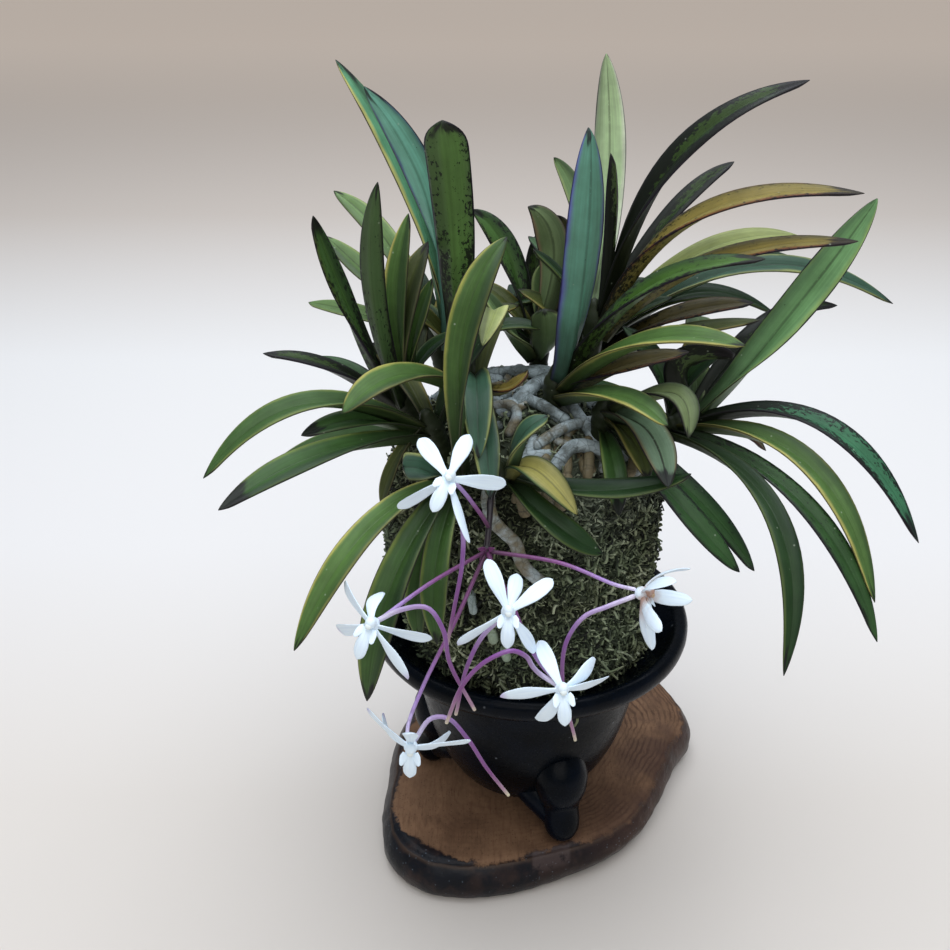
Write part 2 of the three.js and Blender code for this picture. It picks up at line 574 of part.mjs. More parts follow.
function bloom({ centre, face, lip, tepals }) {
  const { out, up, right } = faceAxes(face);
  const heart = vec(centre);
  const turn = (spin) => right.clone().multiplyScalar(Math.cos(radians(spin)))
    .addScaledVector(up, Math.sin(radians(spin)));
  const place = (direction, along, forward) => heart.clone()
    .addScaledVector(direction, along).addScaledVector(out, forward);

  const blades = tepals.map(([spin, tilt, factor]) => {
    const direction = turn(spin);
    const length = TEPAL.length * factor;
    const bend = (share, reach) => place(direction, length * reach * Math.cos(radians(tilt * share)),
      -length * reach * Math.sin(radians(tilt * share)));
    const curve = new THREE.QuadraticBezierCurve3(place(direction, 0.6, 0), bend(0.4, 0.55), bend(1, 1));
    return petalBlade(curve, out, TEPAL.width, TEPAL.thickness, TEPAL_SHAPE);
  });

  const down = turn(lip);
  const across = turn(lip + 90);
  const tongue = new THREE.QuadraticBezierCurve3(
    place(down, 0.4, 0.8), place(down, 3.4, LIP.rise), place(down, LIP.length, 1.4));
  blades.push(petalBlade(tongue, out, LIP.width, LIP.thickness, LIP_SHAPE));
  for (const sign of [-1, 1]) {
    const lobe = place(down, 2.2, 1.9).addScaledVector(across, (LIP.width / 2) * sign);
    blades.push(ball(LIP.lobe, lobe.toArray(), 5, 3));
  }
  blades.push(ball(COLUMN_RADIUS, place(down, -0.6, 1.5).toArray(), 6, 4));
  blades.push(ball(HEART_RADIUS, place(down, 0, -0.2).toArray(), 6, 4));
  return mainBody(join(blades));
}

/** Where a bloom's stem or spur meets its back, off the centre towards a spin, with the gap left open. */
function backOf({ centre, face }, spin, radius) {
  const { out, up, right } = faceAxes(face);
  return vec(centre).addScaledVector(out, -(HEART_RADIUS + 2 * GAP + radius * 0.5))
    .addScaledVector(right, BACK_OFFSET * Math.cos(radians(spin)))
    .addScaledVector(up, BACK_OFFSET * Math.sin(radians(spin))).toArray();
}

function flowerStalk() {
  const route = [STALK_START, [-13.6, -50.6, 156.4], [-14.2, -55.4, 151.6], STALK_NODE];
  const stems = BLOOMS.map((plan) => {
    const joint = backOf(plan, plan.mouth + 180, PEDICEL_RADIUS);
    return strand([...plan.stem, joint], [PEDICEL_RADIUS, PEDICEL_RADIUS], 5, 5);
  });
  const peduncle = strand(route, PEDUNCLE_RADIUS, 4, 6);
  return mainBody(join([peduncle, ball(NODE_RADIUS, STALK_NODE, 7, 5), ...stems]));
}

function spur(plan) {
  return strand([backOf(plan, plan.mouth, SPUR_RADIUS[0]), ...plan.spur], SPUR_RADIUS, 9, 5);
}

// ---------------------------------------------------------------------------------------------
// The whole plant
// ---------------------------------------------------------------------------------------------
const plant = new THREE.Group();
const stemHoles = GROWTHS.map((plan) => growthStem(plan, GAP));

plant.add(part('stand', stand(), COLOURS.wood, 0.6));
plant.add(part('pot', pot(), COLOURS.glaze, 0.15));
plant.add(part('moss_mound', mossMound(stemHoles), COLOURS.moss, 1));
plant.add(part('roots', roots(stemHoles), COLOURS.root, 0.8));
for (const plan of GROWTHS) plant.add(part(plan.name, growth(plan), COLOURS.leaf, 0.5));
plant.add(part('flower_stalk', flowerStalk(), COLOURS.stalk, 0.5));
BLOOMS.forEach((plan, k) => {
  plant.add(part(`bloom_${k + 1}`, bloom(plan), COLOURS.petal, 0.6));
  plant.add(part(`spur_${k + 1}`, spur(plan), COLOURS.spur, 0.5));
});

export default plant;
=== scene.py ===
"""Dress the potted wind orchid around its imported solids.

The frame is in metres: +Z up, -Y the front, the origin on the underside of the wooden stand on the
pot's axis. Shapes are worked out in millimetres and turned to metres once, when a mesh is made.
"""
import json
import logging
import math
import random
from dataclasses import dataclass
from enum import Enum
from functools import reduce
from typing import Callable, Sequence

import bmesh
import bpy
import numpy as np
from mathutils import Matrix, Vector, noise

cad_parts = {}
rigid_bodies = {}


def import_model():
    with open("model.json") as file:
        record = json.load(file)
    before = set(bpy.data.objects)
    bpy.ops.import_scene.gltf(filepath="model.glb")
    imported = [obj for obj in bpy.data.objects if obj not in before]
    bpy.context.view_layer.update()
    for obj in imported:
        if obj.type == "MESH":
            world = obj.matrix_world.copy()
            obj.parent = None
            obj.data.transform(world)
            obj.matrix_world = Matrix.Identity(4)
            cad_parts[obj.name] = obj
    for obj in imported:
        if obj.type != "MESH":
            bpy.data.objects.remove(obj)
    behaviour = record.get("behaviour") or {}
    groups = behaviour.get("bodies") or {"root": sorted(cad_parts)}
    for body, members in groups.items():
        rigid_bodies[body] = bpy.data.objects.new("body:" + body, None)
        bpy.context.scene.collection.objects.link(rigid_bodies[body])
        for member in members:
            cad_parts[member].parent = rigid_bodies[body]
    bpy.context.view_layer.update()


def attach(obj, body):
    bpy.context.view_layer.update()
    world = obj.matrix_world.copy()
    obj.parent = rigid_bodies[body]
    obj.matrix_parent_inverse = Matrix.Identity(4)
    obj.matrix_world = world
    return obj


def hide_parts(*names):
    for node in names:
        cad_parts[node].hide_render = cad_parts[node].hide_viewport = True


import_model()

log = logging.getLogger("wind_orchid")
logging.basicConfig(level=logging.INFO, format="%(message)s")

Array = np.ndarray
Material = bpy.types.Material
Socket = bpy.types.NodeSocket
Outputs = bpy.types.NodeOutputs
Object = bpy.types.Object
Point = tuple[float, float, float]
Points = tuple[Point, ...]
Pairs = tuple[tuple[float, float], ...]
Three = tuple[Array, Array, Array]  # places or directions that belong together
Colour = tuple[float, float, float, float]
Face = tuple[int, ...]
Feed = object  # a socket to link, or a plain value to set

MM = 0.001
BODY = "root"
FULL_TURN = 2 * math.pi
GOLDEN = 0.618  # steps of this share spread numbers evenly from 0 to 1
UP = np.array([0.0, 0.0, 1.0])
FRONT = np.array([0.0, -0.8, 0.6])  # forwards and up, the side that the blades turn to


# ---- Small tools ----
def rgb(code: str) -> Colour:
    """Return the linear colour of an sRGB hex code.

    Args:
        code: six digits, such as "8fa058".

    Returns:
        Red, green, blue and an alpha of 1.
    """
    parts = [int(code[i:i + 2], 16) / 255 for i in (0, 2, 4)]
    red, green, blue = (c / 12.92 if c <= 0.04045 else ((c + 0.055) / 1.055) ** 2.4 for c in parts)
    return red, green, blue, 1.0


def mix(a: object, b: object, t: object) -> object:
    """Return the value a share t of the way from a to b."""
    return a + (b - a) * t


def smooth(t: object) -> object:
    """Return t eased from 0 to 1 and held outside that range."""
    held = np.clip(t, 0.0, 1.0)
    return held * held * (3 - 2 * held)


def length_of(vector: Array) -> float:
    """Return how long a vector is."""
    return float(np.linalg.norm(vector))


def unit(vector: Array) -> Array:
    """Return the vector at length 1."""
    return vector / max(length_of(vector), 1e-9)


def square_to(direction: Array, along: Array) -> Array:
    """Return a direction with what lies along another taken away, at length 1."""
    return unit(direction - along * float(direction @ along))


def bow(curve: Three, t: float) -> tuple[Array, Array]:
    """Follow a quadratic curve.

    Args:
        curve: its start, bend and end.
        t: the share of the way.

    Returns:
        The point there, and the curve's direction.
    """
    start, bend, end = curve
    point = (1 - t) ** 2 * start + 2 * t * (1 - t) * bend + t * t * end
    return point, unit(2 * (1 - t) * (bend - start) + 2 * t * (end - bend))


def rounded(position: object) -> float:
    """Return smooth noise from -1 to 1 at a position."""
    return noise.noise(Vector(position))


def circle(sides: int) -> Array:
    """Return the angles of points spread evenly round a circle."""
    return np.linspace(0, FULL_TURN, sides, endpoint=False)


class Draws:
    """A repeatable stream of numbers from 0 to 1, the same as the solids' own."""

    def __init__(self, seed: int) -> None:
        """Start the stream at a seed."""
        self.state = seed

    def __call__(self) -> float:
        """Return the next number."""
        self.state = (self.state * 1664525 + 1013904223) % 4294967296
        return self.state / 4294967296


class Route:
    """A smooth curve through points, measured along its length."""

    STEPS = 24  # straight pieces between two points
    PROBE = 0.2  # how far to either side of a place its direction is taken

    def __init__(self, points: Sequence[Point]) -> None:
        """Lay the curve.

        Args:
            points: what it passes through, in millimetres.
        """
        given = np.array(points, float)
        padded = np.vstack([2 * given[0] - given[1], given, 2 * given[-1] - given[-2]])
        laid = [given[0]]
        for k in range(len(given) - 1):
            for step in range(1, self.STEPS + 1):
                laid.append(self._span(padded[k:k + 4], step / self.STEPS))
        self.points = np.array(laid)
        strides = np.linalg.norm(np.diff(self.points, axis=0), axis=1)
        self.reach = np.concatenate([[0.0], np.cumsum(strides)])
        self.length = float(self.reach[-1])
        self.marks = self.reach[::self.STEPS]  # how far along it each given point lies

    @staticmethod
    def _span(four: Array, t: float) -> Array:
        """Return a point between two given ones, by centripetal Catmull-Rom.

        Args:
            four: the two points, with their neighbours before and after them.
            t: the share of the way from the one to the other.

        Returns:
            The point.
        """
        d0, d1, d2 = (max(length_of(four[i + 1] - four[i]) ** 0.5, 1e-4) for i in range(3))
        x0, x1, x2, x3 = four
        t1 = ((x1 - x0) / d0 - (x2 - x0) / (d0 + d1) + (x2 - x1) / d1) * d1
        t2 = ((x2 - x1) / d1 - (x3 - x1) / (d1 + d2) + (x3 - x2) / d2) * d1
        return (x1 + t1 * t + (-3 * x1 + 3 * x2 - 2 * t1 - t2) * t ** 2
                + (2 * x1 - 2 * x2 + t1 + t2) * t ** 3)

    def at(self, distances: Array) -> Array:
        """Return the points at these distances along the curve."""
        return np.stack([np.interp(distances, self.reach, self.points[:, i]) for i in range(3)], axis=1)

    def frames(self, distances: Array) -> Three:
        """Return places along the curve, with directions that don't twist about it.

        Args:
            distances: how far along the places are.

        Returns:
            The places, and two directions for each that are square to the curve.
        """
        centres = self.at(distances)
        ahead = self.at(np.minimum(distances + self.PROBE, self.length))
        behind = self.at(np.maximum(distances - self.PROBE, 0.0))
        tangents = [unit(step) for step in ahead - behind]
        normal = unit(np.cross(tangents[0], UP if abs(tangents[0][2]) < 0.9 else FRONT))
        normals = []
        for tangent in tangents:
            normal = square_to(normal, tangent)
            normals.append(normal)
        normals = np.array(normals)
        return centres, normals, np.cross(np.array(tangents), normals)


def quads(rows: int, sides: int, closed: bool = False) -> list[Face]:
    """Return the faces between rings of points.

    Args:
        rows: how many rings there are.
        sides: points in a ring.
        closed: whether the last ring joins the first.

    Returns:
        Faces of four corners each.
    """
    faces = []
    for i in range(rows if closed else rows - 1):
        here, after = i * sides, (i + 1) % rows * sides
        for j in range(sides):
            following = (j + 1) % sides
            faces.append((here + j, here + following, after + following, after + j))
    return faces


def loft(rings: Array) -> tuple[Array, list[Face]]:
    """Close a skin over rings of points.

    Args:
        rings: the points of each ring.

    Returns:
        The points, with one more in the middle of each end, and the faces.
    """
    count, sides = rings.shape[:2]
    points = np.concatenate([rings.reshape(-1, 3), rings[:1].mean(1), rings[-1:].mean(1)])
    faces = quads(count, sides)
    last = (count - 1) * sides
    for j in range(sides):
        following = (j + 1) % sides
        faces.append((count * sides, following, j))
        faces.append((count * sides + 1, last + j, last + following))
    return points, faces


def spread(values: Array, sides: int) -> Array:
    """Return a value for each point of a loft, from one for each ring."""
    return np.concatenate([np.repeat(values, sides), values[:1], values[-1:]])


def tiled(values: Array, rows: int) -> Array:
    """Return a value for each point of a loft, from one for each point of a ring."""
    return np.concatenate([np.tile(values, rows), [0, 0]])


def link(name: str, data: object) -> Object:
    """Put a new object in the scene.

    Args:
        name: the object's name.
        data: its mesh, lamp or camera.

    Returns:
        The object.
    """
    made = bpy.data.objects.new(name, data)
    bpy.context.scene.collection.objects.link(made)
    return made


class Skin:
    """The growing mesh of one piece: points in millimetres, faces, and values kept at each point."""

    def __init__(self, **defaults: object) -> None:
        """Start empty.

        Args:
            defaults: the default of each value. A colour is a value of four numbers.
        """
        self.defaults = defaults
        self.points: list[Array] = []
        self.faces: list[Face] = []
        self.values: dict[str, list[Array]] = {name: [] for name in defaults}
        self.count = 0

    def add(self, points: Array, faces: list[Face], **values: object) -> None:
        """Add a shape.

        Args:
            points: its points.
            faces: its faces, by the numbers of its own points.
            values: its values, one for each point or one for all of them.
        """
        size = len(points)
        self.points.append(points)
        self.faces.extend(tuple(i + self.count for i in face) for face in faces)
        for name, default in self.defaults.items():
            given = np.asarray(values.get(name, default), float)
            shape = (size, 4) if np.ndim(default) == 1 else (size,)
            self.values[name].append(np.broadcast_to(given, shape))
        self.count += size

    def build(self, name: str, material: Material) -> Object:
        """Make the mesh, smooth, with its faces outwards.

        Args:
            name: the object's name.
            material: its finish.

        Returns:
            The finished object.
        """
        mesh = bpy.data.meshes.new(name)
        mesh.from_pydata((np.concatenate(self.points) * MM).tolist(), [], self.faces)
        for key, parts in self.values.items():
            joined = np.concatenate(parts)
            colour = joined.ndim == 2
            layer = mesh.attributes.new(key, "FLOAT_COLOR" if colour else "FLOAT", "POINT")
            layer.data.foreach_set("color" if colour else "value", joined.ravel())
        outwards(mesh)
        mesh.materials.append(material)
        mesh.shade_smooth()
        return link(name, mesh)


def outwards(mesh: bpy.types.Mesh) -> None:
    """Turn the faces outwards.

    Args:
        mesh: what to mend.
    """
    work = bmesh.new()
    work.from_mesh(mesh)
    bmesh.ops.recalc_face_normals(work, faces=work.faces)
    work.to_mesh(mesh)
    work.free()


def open_surface(name: str, rings: Array) -> Object:
    """Make a bare open surface, for strands to grow on.

    Args:
        name: the object's name.
        rings: the points of each ring.

    Returns:
        The object, without a material.
    """
    mesh = bpy.data.meshes.new(name)
    mesh.from_pydata((rings.reshape(-1, 3) * MM).tolist(), [], quads(*rings.shape[:2]))
    return link(name, mesh)


def mount(piece: Object, slot: str, *nodes: str) -> Object:
    """Ride a piece on the plant's body in place of its solids, and report it.

    Args:
        piece: the finished object.
        slot: the record's material slot; not used.
        nodes: the solids that it stands for.

    Returns:
        The same object.
    """
    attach(piece, BODY)
    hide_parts(*nodes)
    triangles = sum(len(face.vertices) - 2 for face in piece.data.polygons)
    log.info("%-24s %7d triangles  for %s", piece.name, triangles, ", ".join(nodes))
    return piece


def ringed(centres: Array, radii: Array, first: Array, second: Array, sides: int) -> Array:
    """Lay a ring of points about each centre.

    Args:
        centres: the centres.
        radii: the radius about each.
        first: the direction of each ring's first point.
        second: the direction square to it.
        sides: points in a ring.

    Returns:
        The points of each ring.
    """
    cosines, sines = (values[None, :, None] for values in (np.cos(circle(sides)), np.sin(circle(sides))))
    return centres[:, None] + radii[:, None, None] * (cosines * first[:, None] + sines * second[:, None])


def tube(path: Route, radii: tuple[float, float], sides: int, step: float,
         swell: Callable[[Array], Array] | None = None) -> tuple[Array, list[Face], Array]:
    """Make a tube with rounded ends.

    Args:
        path: the curve that it follows.
        radii: its radius at the start and at the end.
        sides: points in a ring.
        step: about how far apart the rings are.
        swell: a factor on the radius for each distance along it.

    Returns:
        The points, the faces and each point's distance along the tube.
    """
    length = path.length
    ends = np.array([0.03, 0.2, 0.5, 1.0])
    inner = np.linspace(radii[0], length - radii[1], max(3, int(length / step)))[1:-1]
    along = np.concatenate([ends * radii[0], inner, length - ends[::-1] * radii[1]])
    radius = mix(radii[0], radii[1], along / length)
    nearest = np.minimum(along / radii[0], (length - along) / radii[1])
    radius = radius * np.sqrt(np.clip(1 - (1 - np.minimum(nearest, 1.0)) ** 2, 0.02, 1))
    if swell:
        radius = radius * swell(along)
    centres, normals, across = path.frames(along)
    points, faces = loft(ringed(centres, radius, normals, across, sides))
    return points, faces, spread(along, sides)


# ---- Node trees ----
class Tree:
    """A node tree under construction, with short calls for its usual nodes."""

    def __init__(self, tree: bpy.types.NodeTree) -> None:
        """Work on a tree."""
        self.tree = tree

    def node(self, kind: str, inputs: dict | None = None, **settings: object) -> bpy.types.Node:
        """Add a node.

        Args:
            kind: the node's type.
            inputs: what feeds its inputs, by name or number.
            settings: its settings.

        Returns:
            The node.
        """
        made = self.tree.nodes.new(kind)
        for name, value in settings.items():
            setattr(made, name, value)
        for key, value in (inputs or {}).items():
            self.feed(made.inputs[key], value)
        return made

    def feed(self, socket: Socket, value: Feed) -> None:
        """Link a socket to another, or set its value.

        Args:
            socket: the input.
            value: another socket, or a plain value.
        """
        if isinstance(value, Socket):
            self.tree.links.new(value, socket)
        else:
            socket.default_value = value

    def math(self, operation: str, a: Feed, b: Feed = 0.0) -> Socket:
        """Return the result of an operation on two values."""
        return self.node("ShaderNodeMath", {0: a, 1: b}, operation=operation).outputs[0]

    def times(self, *values: Feed) -> Socket:
        """Return the product of the values."""
        return reduce(lambda a, b: self.math("MULTIPLY", a, b), values)

    def plus(self, *values: Feed) -> Socket:
        """Return the sum of the values."""
        return reduce(lambda a, b: self.math("ADD", a, b), values)

    def minus(self, a: Feed, b: Feed) -> Socket:
        """Return a less b."""
        return self.math("SUBTRACT", a, b)

    def swing(self, value: Feed, size: Feed) -> Socket:
        """Return noise about 0.5 as noise about 0, times a size."""
        return self.times(self.minus(value, 0.5), size)

    def blend(self, factor: Feed, a: Feed, b: Feed, mode: str = "MIX") -> Socket:
        """Return colour a with colour b over it by a factor."""
        return self.node("ShaderNodeMix", {0: factor, 6: a, 7: b}, data_type="RGBA",
                         blend_type=mode).outputs[2]

    def over(self, colour: Feed, code: str, *cover: Feed) -> Socket:
        """Return a colour with that of an sRGB code over it, by the product of the covers."""
        return self.blend(self.times(*cover), colour, rgb(code))

    def span(self, value: Feed, low: Feed, high: Feed, start: float = 0.0, end: float = 1.0) -> Socket:
        """Return a value eased from start to end as another goes from low to high."""
        return self.node("ShaderNodeMapRange", {0: value, 1: low, 2: high, 3: start, 4: end},
                         interpolation_type="SMOOTHSTEP").outputs[0]

    def noise(self, vector: Feed, scale: Feed, detail: float = 3.0, roughness: float = 0.55) -> Socket:
        """Return smooth noise about 0.5."""
        return self.node("ShaderNodeTexNoise", {"Vector": vector, "Scale": scale, "Detail": detail,
                                                "Roughness": roughness}).outputs[0]

    def ramp(self, value: Feed, *stops: tuple[float, str]) -> Socket:
        """Return the colour of a ramp.

        Args:
            value: the place on the ramp.
            stops: the position and the sRGB code of each of its colours.

        Returns:
            The colour there.
        """
        made = self.node("ShaderNodeValToRGB", {0: value})
        elements = made.color_ramp.elements
        for spare in list(elements)[1:]:
            elements.remove(spare)
        elements[0].position, elements[0].color = stops[0][0], rgb(stops[0][1])
        for position, code in stops[1:]:
            elements.new(position).color = rgb(code)
        return made.outputs[0]

    def kept(self, name: str, output: str = "Fac") -> Socket:
        """Return a value that the mesh keeps at its points."""
        return self.node("ShaderNodeAttribute", attribute_name=name).outputs[output]

    def vector(self, x: Feed, y: Feed, z: Feed = 0.0) -> Socket:
        """Return a vector of three values."""
        return self.node("ShaderNodeCombineXYZ", {0: x, 1: y, 2: z}).outputs[0]

    def split(self, vector: Feed) -> Outputs:
        """Return the three numbers of a vector."""
        return self.node("ShaderNodeSeparateXYZ", {0: vector}).outputs

    def bump(self, height: Feed, strength: float, distance: float) -> Socket:
        """Return a normal from a height, with its distance in millimetres."""
        return self.node("ShaderNodeBump", {"Height": height, "Strength": strength,
                                            "Distance": distance * MM}).outputs[0]


class Effects:
    """The effects that several materials use, each a node group built once."""

    def __init__(self) -> None:
        """Build the groups."""
        self.mottle = self._mottle()
        self.flecks = self._flecks()

    @staticmethod
    def _start(name: str, output: tuple[str, str], **inputs: str) -> tuple[Tree, Outputs]:
        """Start a group.

        Args:
            name: the group's name.
            output: the name and the kind of what it puts out.
            inputs: the kind of each input, by its name.

        Returns:
            The group's tree, and the outputs of its input node.
        """
        group = bpy.data.node_groups.new(name, "ShaderNodeTree")
        for label, kind in inputs.items():
            group.interface.new_socket(name=label, in_out="INPUT", socket_type=f"NodeSocket{kind}")
        group.interface.new_socket(name=output[0], in_out="OUTPUT", socket_type=f"NodeSocket{output[1]}")
        tree = Tree(group)
        return tree, tree.node("NodeGroupInput").outputs

    def _mottle(self) -> bpy.types.NodeTree:
        """Build lighter and darker cloudy patches on a colour.

        Returns:
            The group.
        """
        t, given = self._start("mottle", ("Colour", "Color"), Colour="Color", Vector="Vector",
                               Scale="Float", Depth="Float")
        cloud = t.noise(given["Vector"], given["Scale"], 5.0, 0.6)
        shade = t.plus(t.times(t.swing(cloud, given["Depth"]), 2.0), 1.0)
        t.node("NodeGroupOutput", {"Colour": t.blend(1.0, given["Colour"], shade, "MULTIPLY")})
        return t.tree

    def _flecks(self) -> bpy.types.NodeTree:
        """Build scattered small round spots.

        Returns:
            The group.
        """
        t, given = self._start("flecks", ("Mask", "Float"), Vector="Vector", Scale="Float", Size="Float",
                               Share="Float")
        cells = t.node("ShaderNodeTexVoronoi", {"Vector": given["Vector"], "Scale": given["Scale"]}).outputs
        chosen = t.math("LESS_THAN", t.split(cells["Color"])[0], given["Share"])
        t.node("NodeGroupOutput", {"Mask": t.times(t.span(cells["Distance"], given["Size"], 0.0), chosen)})
        return t.tree


class Paint(Tree):
    """A material under construction: its tree, its shader and the shared effects."""

    def __init__(self, name: str, effects: Effects | None = None) -> None:
        """Start a material.

        Args:
            name: the material's name.
            effects: the shared node groups, where it uses them.
        """
        self.material = bpy.data.materials.new(name)
        self.material.use_nodes = True
        super().__init__(self.material.node_tree)
        self.effects = effects
        self.place = self.node("ShaderNodeTexCoord").outputs["Object"]  # on the object, in metres

    def use(self, group: bpy.types.NodeTree, **inputs: Feed) -> Socket:
        """Place a node group on the object's own coordinates.

        Args:
            group: the group.
            inputs: what feeds its other inputs.

        Returns:
            What it puts out.
        """
        made = self.node("ShaderNodeGroup", node_tree=group)
        for name, value in {"Vector": self.place, **inputs}.items():
            self.feed(made.inputs[name], value)
        return made.outputs[0]

    def mottled(self, colour: Feed, scale: float, depth: float) -> Socket:
        """Return a colour with cloudy patches in it."""
        return self.use(self.effects.mottle, Colour=colour, Scale=scale, Depth=depth)

    def flecks(self, scale: float, size: float, share: float) -> Socket:
        """Return a mask of scattered spots."""
        return self.use(self.effects.flecks, Scale=scale, Size=size, Share=share)

    def finish(self, **inputs: Feed) -> Material:
        """Feed the shader.

        Args:
            inputs: what feeds its sockets, with an underscore for a space in a name.

        Returns:
            The finished material.
        """
        shader = self.tree.nodes["Principled BSDF"]
        for name, value in inputs.items():
            self.feed(shader.inputs[name.replace("_", " ")], value)
        return self.material


@dataclass(frozen=True)
class WoodFinish:
    """Oiled end grain inside a band of dark glossy bark."""

    light: str = "82634a"
    deep: str = "553d2c"
    bark: str = "080b13"
    brown_bark: str = "3c2b24"
    ring_pitch: float = 1.7

    def build(self, effects: Effects) -> Material:
        """Make the material, which reads how far in from the edge a point lies, and its ray.

        Args:
            effects: the shared node groups.

        Returns:
            The material.
        """
        t = Paint("wood", effects)
        inset = t.kept("inset")
        wood, relief = self._grain(t, inset)
        bark, band = self._bark(t, inset)
        height = t.plus(t.times(relief, 0.35), t.times(band, t.noise(t.place, 200.0, 5.0, 0.65)))
        return t.finish(Base_Color=t.blend(band, wood, bark), Roughness=t.span(band, 0.0, 1.0, 0.72, 0.36),
                        Normal=t.bump(height, 0.6, 0.4), Specular_IOR_Level=0.2)

    def _grain(self, t: Paint, inset: Socket) -> tuple[Socket, Socket]:
        """Colour the cut wood.

        Args:
            t: the material under construction.
            inset: how far in from the edge a point lies, in millimetres.

        Returns:
            Its colour, and how far its lines stand proud.
        """
        place = t.place
        x, y, _ = t.split(place)
        grown = t.plus(inset, t.times(t.noise(place, 34.0, 4.0, 0.6), 9.0))
        wave = t.math("SINE", t.times(grown, FULL_TURN / self.ring_pitch))
        # the rings show on the right and blur into plain speckled end grain at the left front
        ringed_part = t.span(t.plus(x, t.times(y, 0.6)), -0.03, 0.035, 0.2, 1.0)
        line = t.times(t.span(wave, -0.2, 1.0), t.span(t.noise(place, 80.0), 0.3, 0.7), ringed_part)
        streaks = t.noise(t.vector(t.times(x, 900.0), t.times(y, 140.0)), 1.0, 4.0, 0.7)
        cloud = t.noise(place, 30.0, 5.0, 0.65)
        wood = t.blend(t.span(cloud, 0.3, 0.72), rgb(self.light), rgb(self.deep))
        wood = t.over(wood, "412b1f", line, 0.75)
        wood = t.over(wood, "523a2b", t.span(streaks, 0.45, 0.75, 0.0, 0.6))
        wood = t.mottled(wood, 110.0, 0.45)
        wood = t.over(wood, "2c1f18", t.flecks(1100.0, 0.45, 0.3), 0.5)
        stain = t.times(t.span(t.minus(x, t.times(y, 0.3)), 0.02, 0.05),
                        t.span(t.noise(place, 45.0), 0.45, 0.6))
        return t.over(wood, "3d2a26", stain, 0.5), t.plus(streaks, line)

    def _bark(self, t: Paint, inset: Socket) -> tuple[Socket, Socket]:
        """Colour the bark, which is broad and torn at the front, and narrow and brown round the right.

        Args:
            t: the material under construction.
            inset: how far in from the edge a point lies, in millimetres.

        Returns:
            Its colour, and where it covers the wood.
        """
        place = t.place
        x, y, _ = t.split(place)
        turned = t.span(t.plus(x, t.times(y, 0.35)), -0.01, 0.034)
        tears = t.noise(place, 120.0, 5.0, 0.75)
        lobes = t.noise(t.vector(t.kept("ray_x"), t.kept("ray_y")), 2.2, 2.0)
        burnt = t.times(t.span(x, -0.018, -0.034), t.span(y, -0.022, -0.034), 3.5)
        reach = t.plus(t.minus(4.3, t.times(turned, 1.2)), burnt, t.swing(tears, 9.0), t.swing(lobes, 5.0))
        band = t.span(t.minus(reach, inset), -0.5, 0.9)
        patches = t.span(t.noise(place, 60.0, 5.0, 0.65), 0.42, 0.62)
        browner = t.math("MAXIMUM", t.times(patches, 0.55), t.times(turned, 0.95))
        bark = t.mottled(t.blend(browner, rgb(self.bark), rgb(self.brown_bark)), 170.0, 0.9)
        # painted glints: pale bluish specks on the glossy bark
        bark = t.over(bark, "8496a6", t.flecks(900.0, 0.3, 0.2), 0.35)
        # painted highlight: a lighter brown line along the bark's rounded top edge
        bark = t.over(bark, "54402f", t.span(inset, 1.7, 2.5), t.span(inset, 3.3, 2.7), 0.35)
        scar = t.times(t.span(x, 0.0005, 0.0015), t.span(x, 0.0145, 0.013), t.span(y, -0.034, -0.036),
                       t.span(inset, -0.4, 0.8))
        return t.over(bark, "4c403e", scar, t.span(tears, 0.35, 0.5), 0.6), band


@dataclass(frozen=True)
class GlazeFinish:
    """Black pot glaze with a soft sheen, and a few pale specks that are painted glints."""

    body: str = "020509"
    bloom: str = "060d18"

    def build(self, effects: Effects) -> Material:
        """Make the material.

        Args:
            effects: the shared node groups.

        Returns:
            The material.
        """
        t = Paint("glaze", effects)
        cloud = t.noise(t.place, 60.0, 4.0)
        colour = t.blend(t.span(cloud, 0.35, 0.75), rgb(self.body), rgb(self.bloom))
        # painted glints: small pale bluish specks on the black glaze
        colour = t.over(colour, "8d9298", t.flecks(260.0, 0.16, 0.1), 0.6)
        skin = t.plus(t.times(cloud, 0.7), t.times(t.noise(t.place, 700.0), 0.3))
        return t.finish(Base_Color=colour, Roughness=t.span(t.noise(t.place, 400.0), 0.2, 0.8, 0.2, 0.36),
                        Normal=t.bump(skin, 0.45, 0.5), Specular_IOR_Level=0.08)


@dataclass(frozen=True)
class MossFinish:
    """Dried and living moss, olive and brown, with pale strands. A strand keeps its own shade."""

    dark: str = "0a0d08"
    middle: str = "394029"
    light: str = "7f8766"

    def build(self, strands: bool) -> Material:
        """Make the material.

        Args:
            strands: whether it is for the strands or for the mound under them.

        Returns:
            The material.
        """
        t = Paint("moss_strands" if strands else "moss")
        place = t.place
        patch = t.noise(place, 55.0, 4.0, 0.6)
        if strands:
            own = t.plus(t.times(t.kept("shade"), 0.85), t.swing(patch, 0.9))
        else:
            # painted shade: the mound under the strands keeps to the dark end of the ramp, for the gaps between
            # them
            own = t.times(t.noise(place, 500.0, 5.0, 0.65), 0.35)
        colour = t.ramp(own, (0.0, self.dark), (0.38, self.middle), (0.68, self.light), (0.92, "c9d0b2"))
        greener = t.span(t.noise(place, 34.0), 0.4, 0.62)
        colour = t.blend(t.times(greener, 0.5), colour, t.blend(own, rgb("10180f"), rgb("8fa582")))
        x, _, z = t.split(place)
        # painted light: the upper right of the mound is paler, where the light falls on it
        painted_light_patch = t.times(t.span(x, -0.005, 0.02), t.span(z, 0.122, 0.142), t.span(patch, 0.35, 0.6))
        colour = t.blend(t.times(painted_light_patch, 0.7), colour, t.blend(own, rgb("3a4436"), rgb("c3cdb6")))
        return t.finish(Base_Color=colour, Roughness=0.9, Normal=t.bump(t.noise(place, 900.0), 0.6, 0.3))


